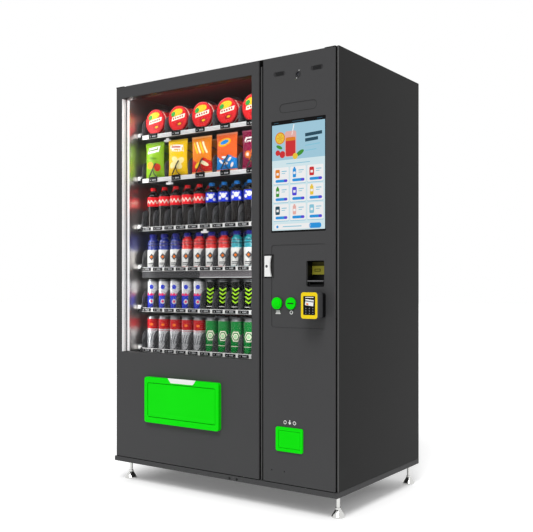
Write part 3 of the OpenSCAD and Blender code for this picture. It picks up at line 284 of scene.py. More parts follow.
def box(bm, x0, x1, y0, y1, z0, z1, slot=0):
    """Plain block between two corners, in mm."""
    corners = [bm.verts.new((x * MM, y * MM, z * MM)) for x in (x0, x1) for y in (y0, y1) for z in (z0, z1)]
    for quad in ((0, 1, 3, 2), (4, 6, 7, 5), (0, 4, 5, 1), (2, 3, 7, 6), (0, 2, 6, 4), (1, 5, 7, 3)):
        bm.faces.new([corners[i] for i in quad]).material_index = slot


# Hole plugs: two black moulded ABS caps, pressed into the spare screw holes in the base tray's front.
# The moulding has a fine matt grain.
black_abs = grained("black_moulded_abs", 1.2, (0.36, 0.5),
                    {"Base Color": rgb("#0b0b0c"), "Specular IOR Level": 0.15}, bump=0.15)
plugs = bmesh.new()
for x in (84.5, 125.5):
    round_plate(plugs, x, 105, 11, 11, 5.4, -346.2, -343, ease=0.6)
make_piece("base_hole_plugs", plugs, [black_abs], "cabinet")

# Rear panel: sheet steel with cooling slots, coated as the shell is. The deck, runners and control box
# are bare galvanised sheet, which shows a spangle about two centimetres across.
galvanised = grained("galvanised_sheet_steel", 60, (0.38, 0.55), {"Metallic": 0.85}, detail=4)
tree = galvanised.node_tree
place = add(tree, "TexCoord").outputs["Object"]
spangle = add(tree, "TexVoronoi", {"Vector": place, "Scale": 1 / (18 * MM)})
paint(galvanised, spangle.outputs["Color"], rgb("#8b8e90"), rgb("#a6a9ab"))
dress(["rear_panel"], charcoal_coat, 0.8)
dress(["door_hinges"], dark_coat, 0.5)
dress(["tray_runners", "machine_deck", "control_box"], galvanised, 0.5)

# Levelling feet: turned steel, bright nickel plated, screwed into the base and held by a hex lock nut.
# The plate mirrors the floor, a little blurred by the turning marks.
nickel = grained("bright_nickel_plate", 6, (0.1, 0.2), {"Base Color": rgb("#d6d6d4"), "Metallic": 1.0})
dress(["levelling_feet"], nickel)

# Chilled bay: a liner folded from sheet, its side walls polished stainless steel, its back and ceiling
# lacquered dark brown, and a slim lamp of milky acrylic behind each side of the door's frame.
liner_sheet = grained("stainless_and_lacquered_liner", 200, (0.28, 0.38), {"Specular IOR Level": 0.3})
tree = liner_sheet.node_tree
lacquer = paint(liner_sheet, tree.nodes["Noise Texture"], rgb("#35110f"), rgb("#75322e"))
sideways = off(tree, "X", space="Normal")
side_wall = add(tree, "Math", {0: sideways, 1: 0.7}, operation="GREATER_THAN")
paint(liner_sheet, side_wall, lacquer, rgb("#cfcbc8"))
plug(tree, tree.nodes["Principled BSDF"], {"Metallic": side_wall})
dress(["chiller_liner"], liner_sheet)
bin_paint = powder_coat("matt_dark_bin_paint", "#28282a", roughness=0.8, gloss=0.0)
dress(["delivery_bin"], bin_paint)

lamp_acrylic = grained("milky_acrylic_lamp", 3, (0.35, 0.5),
                       {"Base Color": rgb("#f4f4f2"), "Emission Color": rgb("#ffffff"),
                        "Emission Strength": 1.3})
dress(["light_bars"], lamp_acrylic, 1.0)


def softbox(name, at, aim, width, height, watts):
    data = bpy.data.lights.new(name, "AREA")
    data.shape = "RECTANGLE"
    data.size, data.size_y, data.energy = width, height, watts
    lamp = bpy.data.objects.new(name, data)
    lamp.location = at
    lamp.rotation_euler = (Vector(aim) - Vector(at)).to_track_quat("-Z", "Y").to_euler()
    lamp.visible_camera = False
    scene.collection.objects.link(lamp)
    return lamp


BAY_X, BAY_Z, BAY_H = -0.19, 1.26, 1.24
for name, x, aim_x in (("left", -0.603, -0.183), ("right", 0.219, -0.201)):
    softbox(f"bay_lamp_{name}", (x, -0.278, BAY_Z), (aim_x, 0.0, BAY_Z), 0.02, BAY_H, 1.1)
softbox("bay_lamp_top", (BAY_X, -0.27, 1.895), (BAY_X, -0.1, 1.2), 0.78, 0.03, 1.2)
front_fill = softbox("bay_front_fill", (BAY_X, -0.30, BAY_Z), (BAY_X, 0.3, BAY_Z), 0.80, BAY_H, 2.6)
front_fill.visible_glossy = False

# Trays: dark painted sheet with thin smoked lane dividers that stand on the tray's floor.
# Along each front is a price rail, extruded in white PVC and clipped on.
LANE = 77.15
TRAY_X0, TRAY_Y = -587.5, -218.0
TRAY_T, LANE_X0 = 1.5, TRAY_X0 + 0.75
LEVELS = (1702, 1485, 1243, 1041, 839, 637)
snack_x = [LANE_X0 + (2 * lane + 1) * LANE for lane in range(5)]
drink_x = [LANE_X0 + (lane + 0.5) * LANE for lane in range(10)]
tray_paint = powder_coat("dark_tray_paint", "#3c3c3e", roughness=0.35, peel_mm=2.2)
dress(["trays"], tray_paint, 0.3)
smoked_sheet = grained("smoked_styrene_divider", 40, (0.2, 0.34), {"Base Color": rgb("#58585b")})
dress(["lane_dividers"], smoked_sheet, 0.3)
white_rail = grained("white_extruded_pvc", 5, (0.3, 0.42), {"Base Color": rgb("#dededd")}, detail=3)
dress(["price_rails", "spiral_motors", "evaporator"], white_rail, 0.6)


# Selection tags: black moulded clips on the rails, each with pale printed marks. Ink on board, film or
# plastic shows a faint mottle and an uneven gloss.
def printed(name, colour, roughness=0.35, metallic=0.0, grain_mm=3.0):
    """Ink on board or film: a faint mottle and an uneven gloss."""
    return grained(name, grain_mm, (roughness - 0.06, roughness + 0.08),
                   {"Metallic": metallic, "Specular IOR Level": 0.15},
                   (rgb(colour, 0.95), rgb(colour, 1.05)), detail=3)


tag_print = grained("pale_grey_print", 2, 0.6, tones=(rgb("#97999b"), rgb("#b6b8ba")))
RAIL_Y, RAIL_UP = -226.0, -1.0
tags = bmesh.new()
for row, level_z in enumerate(LEVELS):
    tag_w, tag_h, aside, up = (58, 25, 8, 3) if row < 2 else (62, 15.5, 0, 0)
    z = level_z + RAIL_UP
    for lane_x in snack_x if row < 2 else drink_x:
        x = lane_x + aside
        round_plate(tags, x, z + up, tag_w, tag_h, 2.5, RAIL_Y - 2.6, RAIL_Y, ease=0.8)
        box(tags, x - 20, x - 15.5, RAIL_Y - 2.9, RAIL_Y - 2.5, z - 2.2, z + 2.2, 1)
        for mark in range(3):
            box(tags, x - 4 + 8.5 * mark, x + 2 + 8.5 * mark, RAIL_Y - 2.9, RAIL_Y - 2.5, z - 3.4, z + 3.4, 1)
make_piece("selection_tags", tags, [black_abs, tag_print], "cabinet")
end_caps = bmesh.new()
for level_z in LEVELS:
    round_plate(end_caps, -597.5, level_z - 4, 19, 15, 1.5, RAIL_Y - 1.4, TRAY_Y + 0.6, ease=0.6)
    round_plate(end_caps, -582.5, level_z - 0.5, 13, 24, 1.5, RAIL_Y - 1.6, RAIL_Y, ease=0.6)
make_piece("rail_end_caps", end_caps, [black_abs], "cabinet")
# Two thin grey strips along each snack rail stand in for its grooves: painted shade.
grooves = bmesh.new()
for level_z in LEVELS[:2]:
    for up in (-6, 0.5):
        box(grooves, TRAY_X0 + 2, 184, RAIL_Y - 0.25, RAIL_Y, level_z + up, level_z + up + 2)
groove_shade = printed("grey_groove_shade", "#b4b4b6", 0.5)
make_piece("rail_grooves", grooves, [groove_shade], "cabinet")

# A folded skirt hangs under the fourth tray's rail. Small clips of white acrylic hang under three of the
# trays;
# they glow a little, painted light, so that their shaded undersides read white.
skirt_paint = powder_coat("grey_skirt_paint", "#6a676a", roughness=0.35, peel_mm=2.2)
skirt = bmesh.new()
SKIRT_X0, SKIRT_X1, SKIRT_Y0, SKIRT_Y1 = -204, 182, -217.2, -215.6
SKIRT_Z0, SKIRT_Z1 = LEVELS[3] - 43, LEVELS[3] - 11.4
box(skirt, TRAY_X0, SKIRT_X0 - 2, SKIRT_Y0, SKIRT_Y1, SKIRT_Z0, SKIRT_Z1, 1)
box(skirt, SKIRT_X0, SKIRT_X1, SKIRT_Y0, SKIRT_Y1, SKIRT_Z0, SKIRT_Z1)
box(skirt, 132, 174, SKIRT_Y0 - 0.7, SKIRT_Y0, SKIRT_Z0 + 5, SKIRT_Z0 + 27, 1)
box(skirt, SKIRT_X0, SKIRT_X1, SKIRT_Y0 - 1.8, SKIRT_Y0, SKIRT_Z0 - 0.4, SKIRT_Z0 + 2.4, 2)
make_piece("tray_skirt", skirt, [skirt_paint, tray_paint, white_rail], "cabinet")
bead_acrylic = grained("edge_lit_white_acrylic", 5, (0.3, 0.42),
                       {"Base Color": rgb("#efefee"), "Emission Color": rgb("#ffffff"),
                        "Emission Strength": 0.4}, detail=3)
clips = bmesh.new()
for x, z, w in ((-450, 1681, 36), (-436, 1468, 36), (-205, 1218, 38)):
    round_plate(clips, x, z, w, 10, 3, -186, -172, ease=1.2)
    round_plate(clips, x, z + 8, w * 0.4, 12, 2, -182, -174, ease=0.6)
make_piece("tray_sensor_lamps", clips, [bead_acrylic], "cabinet")

# Dispensing spirals: spring wire with a black satin coating, wound cold, one for each lane.
# Those of the two snack rows are plugged into moulded drive hubs on their motors' shafts.
black_wire = grained("black_coated_spring_wire", 4, (0.28, 0.42), {"Base Color": rgb("#141415")})


def rod(bm, path, wire_r, sides=6):
    """Round wire along a path of points in mm."""
    rings = []
    across = Vector((0, 0, 1))
    for i, point in enumerate(path):
        along = (path[min(i + 1, len(path) - 1)] - path[max(i - 1, 0)]).normalized()
        across = (across - along * across.dot(along)).normalized()
        beside = along.cross(across)
        ring = []
        for k in range(sides):
            a = 2 * math.pi * k / sides
            ring.append(bm.verts.new((point + (across * math.cos(a) + beside * math.sin(a)) * wire_r) * MM))
        rings.append(ring)
    for low, high in zip(rings, rings[1:]):
        bridge(bm, low, high)
    bm.faces.new(rings[0])
    bm.faces.new(list(reversed(rings[-1])))


def winding(x, z, start_y, first_deg, turns, pitch, coil_r, flat=0.0, tail_r=9, tail_turn=0.75, steps=20):
    """Path of one spiral from its front end backwards: a flat part, the pitch, then in to its hub."""
    path = []
    count = int(turns * steps)
    for k in range(count + 1):
        a = math.radians(first_deg - 360 * k / steps)
        left = (count - k) / steps
        r = coil_r if left > tail_turn else tail_r + (coil_r - tail_r) * left / tail_turn
        y = start_y + pitch * max(k / steps - flat, 0)
        path.append(Vector((x + r * math.cos(a), y, z + r * math.sin(a))))
    return path + [path[-1] + Vector((0, 2.2, 0)), path[-1] + Vector((0, 4.4, 0))]


def turn(bm, outline, at, steps=28, axis="z"):
    """Solid of revolution; outline holds (radius, height, material of the band above that point), in mm."""
    rings = []
    for r, h, _ in outline:
        ring = []
        for s in range(steps if r > 0 else 1):
            a = 2 * math.pi * s / steps
            if axis == "z":
                p = (at[0] + r * math.sin(a), at[1] - r * math.cos(a), at[2] + h)
            else:
                p = (at[0] + r * math.sin(a), at[1] + h, at[2] + r * math.cos(a))
            ring.append(bm.verts.new([v * MM for v in p]))
        rings.append(ring)
    for low, high, (_, _, slot) in zip(rings, rings[1:], outline):
        bridge(bm, low, high, slot)


COIL_R, COIL_WIRE, COIL_PITCH, COIL_UP = 70.95, 2.25, 84.0, 73.7
COIL_START, HUB_Y, HUB_BACK = TRAY_Y + 10, 300.5, 335.5
DRINK_R, DRINK_WIRE, DRINK_PITCH, DRINK_UP = 35.0, 2.0, 75.0, 37.6
HUB = ((0, 0, 0), (14, 0, 0), (16, 2, 0), (16, 12, 0), (4, 12, 0), (4, HUB_BACK - HUB_Y, 0),
       (0, HUB_BACK - HUB_Y, 0))
HOOK_STEM = ((4, -225, -21), (8, -225, -34), (13, -224.5, -48), (20, -216, -58))
HOOK_ARMS = ((-19, -225, -56), (-17, -225, -54), (-6, -225, -37), (4, -225, -21), (6, -225, -14),
             (13, -225, -5), (22, -225, 7))


def snack_coil(bm, x, level_z, hook=False):
    """Spiral with its hub; a forked hook at its front end holds the first bag."""
    z = level_z + TRAY_T + COIL_UP
    stem, arms = ([Vector((x + dx, y, z + dz)) for dx, y, dz in line] for line in (HOOK_STEM, HOOK_ARMS))
    coil_path = winding(x, z, COIL_START, -67.5, 6, COIL_PITCH, COIL_R)
    rod(bm, stem + coil_path if hook else coil_path, COIL_WIRE)
    if hook:
        rod(bm, arms, 3.2)
    turn(bm, HUB, (x, HUB_Y, z), 24, "y")


for lane, x in enumerate(snack_x, 1):
    coil = bmesh.new()
    snack_coil(coil, x, LEVELS[0])
    piece = make_piece(f"cup_coil_{lane}", coil, [black_wire], f"spiral_{lane}")
    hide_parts(f"spiral_{lane}")
bag_coils = bmesh.new()
for x in snack_x:
    snack_coil(bag_coils, x, LEVELS[1], True)
piece = make_piece("bag_coils", bag_coils, [black_wire], "cabinet")
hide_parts("bag_spirals")
for row in range(2, 6):
    drink_coils = bmesh.new()
    for x in drink_x:
        path = winding(x, LEVELS[row] + TRAY_T + DRINK_UP, TRAY_Y + 8, -10, 7.25, DRINK_PITCH, DRINK_R, 0.45,
                       tail_r=8, steps=16)
        rod(drink_coils, path, DRINK_WIRE, 5)
    make_piece(f"drink_coils_row_{row + 1}", drink_coils, [black_wire], "cabinet")


# Row 1: paper noodle cups that lie in the coils with their printed lids to the front.
# Coated board is smooth with a soft gloss; the lid is crimped over the rim.
def patch(bm, outline, surface, slot, rings=3):
    """Printed shape: an outline in mm laid on a surface, filled from its middle outwards."""
    middle = [sum(p[i] for p in outline) / len(outline) for i in (0, 1)]
    hub = bm.verts.new(surface(*middle))
    last = [hub] * len(outline)
    for ring in range(1, rings + 1):
        share = ring / rings
        now = []
        for point in outline:
            now.append(bm.verts.new(surface(*(m + (p - m) * share for m, p in zip(middle, point)))))
        for i in range(len(outline)):
            n = (i + 1) % len(outline)
            corners = [last[i], now[i], now[n], last[n]] if ring > 1 else [hub, now[i], now[n]]
            bm.faces.new(corners).material_index = slot
        last = now


def oval(cx, cy, rx, ry, tilt=0, points=20):
    c, s = math.cos(math.radians(tilt)), math.sin(math.radians(tilt))
    out = []
    for i in range(points):
        a = 2 * math.pi * i / points
        u, v = rx * math.cos(a), ry * math.sin(a)
        out.append((cx + u * c - v * s, cy + u * s + v * c))
    return out


def bar(cx, cy, w, h, tilt=0, slant=0):
    c, s = math.cos(math.radians(tilt)), math.sin(math.radians(tilt))
    corners = []
    for u0, v0, u1, v1 in ((-1, -1, 1, -1), (1, -1, 1, 1), (1, 1, -1, 1), (-1, 1, -1, -1)):
        for k in range(4):
            u = (u0 + (u1 - u0) * k / 4) * w / 2
            v = (v0 + (v1 - v0) * k / 4) * h / 2
            u += slant * v / h
            corners.append((cx + u * c - v * s, cy + u * s + v * c))
    return corners


def face_at(x, y, z):
    """Upright flat surface for printed shapes, measured from a point in mm."""
    return lambda s, h: ((x + s) * MM, y * MM, (z + h) * MM)


cup_red = printed("red_printed_board", "#d81d22", 0.3)
cup_deep = printed("crimson_printed_board", "#a9141c", 0.3)
cream_ink = printed("cream_ink", "#f6efdd")
leaf_ink = printed("leaf_green_ink", "#2f9a3e")
corn_ink = printed("corn_yellow_ink", "#f1b81e")
DEEP, CUP_Y, LID_IN, PRINT_LIFT = 3, COIL_START + 1, 0.55, 0.25
CUP_LINE = ((0, 1.2, 0), (54.5, 0.6, 0), (57.5, 0.2, 1), (62.5, 1.8, 1), (63, 3, 1), (63, 6.4, 1),
            (62, 7.2, 0), (62, 14, 2), (61.8, 20, 0), (61.3, 36, 1), (60.8, 40, 0), (55.8, 73, 0),
            (54.5, 75, 0), (0, 75, 0))
# Each print is an outline, its layer and its ink.
lid_prints = (
    (oval(-5, 30, 37, 17, 8), 0, 4), (oval(-29, 24, 14.5, 11, 30), 1, 3), (bar(4, 5, 85, 18, 8, 7), 1, 2),
    *((oval(-27 + 14.5 * dot, 1.2 + 2 * dot, 5.1, 5.1), 2, 1) for dot in range(5)),
    (oval(10, -27, 24, 10, 8), 1, 1), (oval(12, -27, 11, 5, 8), 2, 4))
for lane, x in enumerate(snack_x, 1):
    cups = bmesh.new()
    axis_z = LEVELS[0] + TRAY_T + COIL_UP
    for k in range(DEEP):
        turn(cups, CUP_LINE, (x, CUP_Y + k * COIL_PITCH, axis_z), 40, "y")
        if k == 0:
            for outline, layer, ink in lid_prints:
                patch(cups, outline, face_at(x, CUP_Y + LID_IN - PRINT_LIFT * layer, axis_z), ink)
    piece = make_piece(f"noodle_cups_{lane}", cups, [cup_red, cup_deep, cream_ink, leaf_ink, corn_ink],
                       f"cup_stack_{lane}")
    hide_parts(f"cup_stack_{lane}")

# Row 2: snack bags of printed metallised film, filled with air, with a crimped seal at top and bottom.
# The film is thin and bright, and shows broken highlights where it creases towards the seals.
BAG_Y, BAG_T, BAG_W, BAG_H = -202.75, 38.0, 126.0, 177.0
bag_z0 = LEVELS[1] + TRAY_T + COIL_UP - 63
white_film = printed("white_film_print", "#f3f1ec", 0.3)
bag_styles = (
    ("pickle_green", "#86b51f", "#5d8a12", "#f3a01c", "#c9321f", "#6e9a1c"),
    ("butter_yellow", "#f5c70f", "#e09a08", "#fbe9a2", "#c8431d", "#c9a012"),
    ("flame_orange", "#f0861a", "#d8261c", "#f7cf2a", "#fff0c2", "#f3ab6c"),
    ("coral_and_blue", "#ee6324", "#1f86d6", "#f7b61f", "#ffffff", "#e88a66"),
    ("plum", "#8a1540", "#5c0e30", "#e7772a", "#f0e2d2", "#a34a68"),
)
# Each print is an outline, its layer, its ink and the rings that fill it.
bag_prints = (
    [(bar(0, 138, 66, 30, 6, 8), 1, 4, 4), (bar(0, 138, 52, 7, 6, 4), 2, 1, 3),
     (oval(-18, 62, 19, 17), 1, 2, 4), (oval(22, 50, 18, 20), 1, 3, 4), (oval(2, 96, 24, 6, -12), 1, 1, 3)],
    [(bar(0, 134, 74, 34, -5, -10), 1, 4, 4), (bar(-4, 140, 52, 7, -5), 2, 3, 3),
     (bar(6, 127, 40, 5, -5), 2, 1, 3), (oval(-20, 52, 20, 14, 30), 2, 2, 4),
     (oval(12, 46, 20, 14, -20), 2, 2, 4), (oval(24, 70, 20, 14, 40), 1, 2, 4),
     (oval(-6, 78, 20, 14, -35), 1, 2, 4)],
    [*((bar(-24 + 16 * k, 122, 9, 62, 24), 1, 2 + k % 2, 4) for k in range(4)),
     (oval(-14, 40, 22, 9, 35), 1, 2, 3), (oval(20, 46, 24, 9, -30), 1, 3, 3)],
    [(oval(-6, 132, 34, 19, 14), 1, 2, 4), (oval(-4, 133, 22, 10, 14), 2, 1, 3),
     *((oval(s, h, 13, 5.5, s * 2), 1, 3 if s < 0 else 4, 3)
       for s, h in ((-24, 44), (0, 34), (22, 52), (-4, 62), (30, 26)))],
    [(bar(0, 132, 70, 24, 0, 10), 1, 4, 4), (bar(0, 132, 50, 8, 0, 4), 2, 1, 3),
     *((oval(s, h, r, r), layer, layer + 1, rings) for s, h in ((-18, 64), (16, 76), (4, 44))
       for r, layer, rings in ((17, 1, 4), (8, 2, 3)))],
)


def bag_half(s, h, side):
    """Depth of the bag's sheet from its middle plane: full in the middle, drawn to the crimped seals."""
    up = min(max((h - 11) / (BAG_H - 22), 0), 1)
    across = min(abs(s) / (BAG_W / 2), 1)
    full = (1 - across**2.6) ** 0.7 * math.sin(math.pi * up) ** 0.55 if 0 < up < 1 else 0
    crease = 0.9 * math.sin(s * 0.42 + side) * math.cos(h * 0.11 + side * 2) * (0.35 + 0.65 * across)
    crimp = 0.5 * math.sin(h * 2.1) if h < 11 or h > BAG_H - 11 else 0
    return 0.6 + full * (BAG_T / 2 - 2.4 + crease) + crimp * 0.5


def bag_edge(h):
    """The bag's sides draw in where it is fullest."""
    return 1 - 0.05 * math.sin(math.pi * min(max(h / BAG_H, 0), 1))


ACROSS, UP, SEAL = 26, 44, 9
for lane, (style, *shades, tint) in enumerate(bag_styles):
    x = snack_x[lane]
    inks = [printed(f"{style}_film_{i}", shade, 0.26, grain_mm=6) for i, shade in enumerate(shades)]
    # The seal bands take the style's last tone: partly the seal's print, partly painted shading of the crimp.
    seal = printed(f"{style}_seal_film", tint, 0.22, grain_mm=6)
    bags = bmesh.new()

    def film(s, h, k, side, lift=0.0):
        """A point on the front or back sheet of the lane's k-th bag."""
        y = BAG_Y + k * COIL_PITCH + side * (bag_half(s, h, lane + k) + lift)
        return (x + s * bag_edge(h)) * MM, y * MM, (bag_z0 + h) * MM

    for k in range(DEEP):
        for side in (-1, 1):
            grid = [[bags.verts.new(film(BAG_W * (i / ACROSS - 0.5), BAG_H * j / UP, k, side))
                     for i in range(ACROSS + 1)] for j in range(UP + 1)]
            for j in range(UP):
                for i in range(ACROSS):
                    quad = (grid[j][i], grid[j][i + 1], grid[j + 1][i + 1], grid[j + 1][i])
                    low = BAG_H * (j + 0.5) / UP
                    edge = 62 + 9 * math.sin((i / ACROSS - 0.5) * 9)
                    slot = 1 if lane in (2, 3) and low < edge else 0
                    if low < SEAL or low > BAG_H - SEAL:
                        slot = 5
                    bags.faces.new(quad if side < 0 else tuple(reversed(quad))).material_index = slot
        if k == 0:
            for outline, layer, ink, rings in bag_prints[lane]:
                patch(bags, outline, lambda s, h: film(1.2 * s, h, 0, -1, PRINT_LIFT * layer), ink, rings)
    piece = make_piece(f"snack_bags_{style}", bags, inks + [white_film, seal], "cabinet", 60)
    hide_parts("stock_bags")


# Rows 3 and 4: drinks in blow-moulded bottles with wrapped labels and screw caps.
# Clear plastic over a dark or bright drink reads as deep, wet colour with sharp highlights.
def drink_plastic(name, colour, gloss=0.25, coat=0.1):
    return grained(name, 25, 0.08, {"IOR": 1.57, "Specular IOR Level": gloss, "Coat Weight": coat},
                   (rgb(colour, 0.8), rgb(colour)))


def wrap(x, y, z, r):
    """Surface of a label, as stocked a little towards the right: arc length from its middle, height."""

    def on(s, h, lift=0.3):
        a = s / r + 0.42
        return ((x + (r + lift) * math.sin(a)) * MM, (y - (r + lift) * math.cos(a)) * MM, (z + h) * MM)

    return on


def stock_row(name, row, lanes, outline, materials, motif, node):
    """A block of like drinks: turned bodies in their lanes, with a motif on the front ones."""
    bm = bmesh.new()
    r = max(p[0] for p in outline)
    for lane in lanes:
        for k in range(DEEP):
            at = (drink_x[lane], TRAY_Y + 12 + r + DRINK_PITCH * k, LEVELS[row] + TRAY_T)
            turn(bm, outline, at, 32 if k == 0 else 20)
            if k == 0:
                motif(bm, wrap(at[0], at[1], at[2], r))
    piece = make_piece(name, bm, materials, "cabinet", 50)
    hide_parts(node)


cola = drink_plastic("dark_drink_in_pet", "#120b0a")
BOTTLE = ((0, 1.5, 0), (20, 0, 0), (25, 0.8, 0), (28.6, 4, 0), (30, 10, 0), (30, 60, 0), (29.4, 68, 0),
          (28, 78, 0), (27.9, 86, 0), (28.8, 96, 0), (29.8, 106, 0), (30, 112, 1), (30, 158, 0),
          (29.3, 162, 0), (27, 168, 0), (22.5, 174.5, 0), (17, 180, 0), (13, 184, 0), (12.4, 188, 0),
          (12.4, 190, 0), (14.2, 190.2, 2), (14.4, 191, 2), (14.4, 204, 2), (13.4, 206, 2), (0, 206, 2))


def zigzag_label(bm, on):
    for tooth in range(-2, 3):
        for half in (-1, 1):
            patch(bm, bar(tooth * 19 + half * 4.7, 134, 4.6, 23, half * 31), on, 3)


def bubble_label(bm, on):
    for s, h, q in ((-16, 129, 9), (3, 140, 12), (20, 125, 7), (17, 149, 4.5), (-12, 149, 5)):
        patch(bm, oval(s, h, q, q), on, 3)


stock_row("bottles_red_label", 2, range(5), BOTTLE,
          [cola, printed("red_label_film", "#ec1222"), printed("red_cap", "#e01018", 0.4), cream_ink],
          zigzag_label, "stock_bottles")
stock_row("bottles_blue_label", 2, range(5, 10), BOTTLE,
          [cola, printed("blue_label_film", "#1233d4"), printed("blue_cap", "#1673c4", 0.4), white_film],
          bubble_label, "stock_bottles")

SPORT = ((0, 1.5, 0), (22, 0, 0), (27, 1, 0), (30, 6, 0), (30, 10, 1), (30, 95, 0), (29.2, 98, 0),
         (27.2, 101, 0), (27, 104, 0), (28.6, 108, 0), (29.8, 112, 0), (29.2, 114.5, 5), (26.4, 117, 5),
         (26.4, 118.5, 5), (29.2, 121.5, 0), (29.6, 125, 0), (28.8, 128.5, 5), (26.2, 130.5, 5),
         (26.2, 132, 5), (27.8, 134.5, 0), (25, 142, 0), (19.6, 148, 0), (16.4, 151, 0),
         (16, 154, 0), (18, 155, 2), (18.4, 157, 2), (18.4, 172, 2), (17, 174, 2), (0, 174, 2))
sport_cap = printed("navy_cap", "#1b1f86", 0.4)
label_grey = printed("pale_grey_label", "#e4e4e1")
steel_ink = printed("slate_ink", "#55585c", 0.4)
amber_ink = printed("amber_ink", "#f07a16")


def diamond_label(bm, on):
    patch(bm, bar(0, 60, 24, 24, 45), on, 3)
    patch(bm, bar(0, 60, 11, 11, 45), lambda s, h: on(s, h, 0.55), 4)
    patch(bm, bar(0, 28, 40, 5), on, 3, 5)
    patch(bm, bar(-6, 20, 28, 3), on, 3, 4)


# The shoulder grooves take a darker copy of each drink: painted shade in the grooves.
for name, colour, groove, lanes in (("blue", "#2a3a9c", "#141c58", range(3)),
                                    ("red", "#f02823", "#a01012", range(3, 7)),
                                    ("teal", "#1aa2b0", "#0b6472", range(7, 10))):
    stock_row(f"sports_bottles_{name}", 3, lanes, SPORT,
              [drink_plastic(f"{name}_drink_in_pet", colour, 0.6, 0.6), label_grey, sport_cap, steel_ink,
               amber_ink, drink_plastic(f"{name}_drink_in_groove", groove, 0.6, 0.6)],
              diamond_label, "stock_sports_bottles")

# Rows 5 and 6: drawn aluminium cans with bare necked-in ends.
# The wall is lacquered in bright colours, with a sharp gloss; the ends keep the metal's dull shine.
can_end = printed("bare_can_aluminium", "#a5a7a9", 0.32, metallic=1.0)


def can_outline(r, h, bands):
    """Necked can: bare ends and coloured bands, given as (height, material)."""
    line = [(0, 3, 0), (0.72 * r, 3, 0), (0.8 * r, 0, 0), (0.92 * r, 3, 0), (r, 0.25 * r, bands[0][1])]
    line += [(r, at, slot) for at, slot in bands[1:]]
    line += [(r, h - 0.4 * r, 0), (0.97 * r, h - 0.3 * r, 0), (0.87 * r, h - 0.12 * r, 0),
             (0.84 * r, h - 0.05 * r, 0), (0.84 * r, h, 0), (0.79 * r, h, 0), (0.77 * r, h - 3, 0),
             (0, h - 3, 0)]
    return tuple(line)


silver_lacquer = printed("silver_lacquer", "#dcdde0", 0.26, metallic=0.5)
royal_lacquer = printed("royal_blue_lacquer", "#2f3fbf", 0.24)
magenta_ink = printed("magenta_ink", "#e0286a", 0.3)
black_lacquer = printed("black_lacquer", "#0d0f0d", 0.24)
lime_ink = printed("lime_ink", "#a4e21c", 0.3)
scarlet_lacquer = printed("scarlet_lacquer", "#b5121c", 0.24)
bottle_green = printed("bottle_green_lacquer", "#0f7d33", 0.24)
pale_green = printed("pale_green_ink", "#a9d8a6", 0.3)


def split_can(bm, on):
    for tooth in range(-2, 3):
        patch(bm, bar(tooth * 17, 75, 12, 12, 45), on, 3)
    patch(bm, oval(0, 112, 11, 11), on, 2)
    patch(bm, oval(0, 40, 12, 12), on, 1)
    patch(bm, oval(0, 40, 6, 6), lambda s, h: on(s, h, 0.55), 3)


def chevron_can(bm, on):
    for row in range(4):
        for half in (-1, 1):
            patch(bm, bar(half * 8.4, 44 + row * 19, 22, 6.5, half * 34), on, 2)
    patch(bm, bar(0, 20, 44, 3), on, 3, 5)


def ribbon_can(bm, on):
    patch(bm, bar(0, 98, 86, 3.2), on, 2, 6)
    for k in range(5):
        patch(bm, bar(-26 + 13 * k, 58, 4, 46, -14), on, 3)
    patch(bm, oval(0, 126, 9, 6), on, 4)


def ring_can(bm, on):
    for q, slot, lift in ((23, 2, 0.3), (18.5, 1, 0.5), (13, 2, 0.7), (9, 3, 0.9)):
        corners = oval(0, 84, q, q * 1.15, 0, 6)
        outline = []
        for (s0, h0), (s1, h1) in zip(corners, corners[1:] + corners[:1]):
            outline += [(s0 + (s1 - s0) * k / 5, h0 + (h1 - h0) * k / 5) for k in range(5)]
        patch(bm, outline, lambda s, h, lift=lift: on(s, h, lift), slot, 6)
    patch(bm, bar(0, 38, 60, 3), on, 2, 6)


stock_row("slim_cans_blue", 4, range(5), can_outline(29, 150, ((0, 2), (70, 3), (74, 1))),
          [can_end, silver_lacquer, royal_lacquer, magenta_ink], split_can, "stock_slim_cans")
stock_row("slim_cans_black", 4, range(5, 10), can_outline(29, 150, ((0, 1),)),
          [can_end, black_lacquer, lime_ink, label_grey], chevron_can, "stock_slim_cans")
stock_row("cans_red", 5, range(5), can_outline(31, 166, ((0, 1), (104, 2))),
          [can_end, silver_lacquer, scarlet_lacquer, steel_ink, amber_ink],
          ribbon_can, "stock_cans")
stock_row("cans_green", 5, range(5, 10), can_outline(31, 166, ((0, 1),)),
          [can_end, bottle_green, cream_ink, pale_green], ring_can, "stock_cans")

# Glass door: a folded steel frame, powder coated, with two clear panes set into it.
# A black rubber seal lies behind the frame's edge.
dress(["glass_door_frame"], charcoal_coat, 1.0)
clear_glass = grained("clear_float_glass", 300, (0.01, 0.03), {"Base Color": rgb("#0e1515"), "Alpha": 0.06})
dress(["window_panes"], clear_glass)
seal_rubber = grained("black_epdm_seal", 8, 0.7, tones=(rgb("#0c0c0c"), rgb("#191919")), detail=3)
dress(["door_seal"], seal_rubber)

# Glazing beads: extruded white acrylic up the jambs, given a painted glow so that they read bright, with a
# grey spacer between the panes and a dark brown head bead.
spacer_grey = printed("grey_spacer_strip", "#8b8b8d", 0.45)
head_brown = printed("dark_brown_head_bead", "#2a1a18", 0.4)
JAMB_X0, JAMB_X1, BEAD_W, BEAD_Z0, BEAD_Z1 = -595.4, 208.4, 2.2, 636.6, 1875.8
beads = bmesh.new()
for y0, y1, slot in ((-343.4, -334.2, 0), (-329.8, -324, 0), (-324, -316.2, 1), (-311.8, -302.4, 0)):
    box(beads, JAMB_X0, JAMB_X0 + BEAD_W, y0, y1, BEAD_Z0, BEAD_Z1, slot)
    if y0 > -340:
        box(beads, JAMB_X1 - BEAD_W, JAMB_X1, y0, y1, BEAD_Z0, BEAD_Z1, slot)
    box(beads, JAMB_X0, JAMB_X1, y0, y1, BEAD_Z1 + 0.1, BEAD_Z1 + 2, 2)
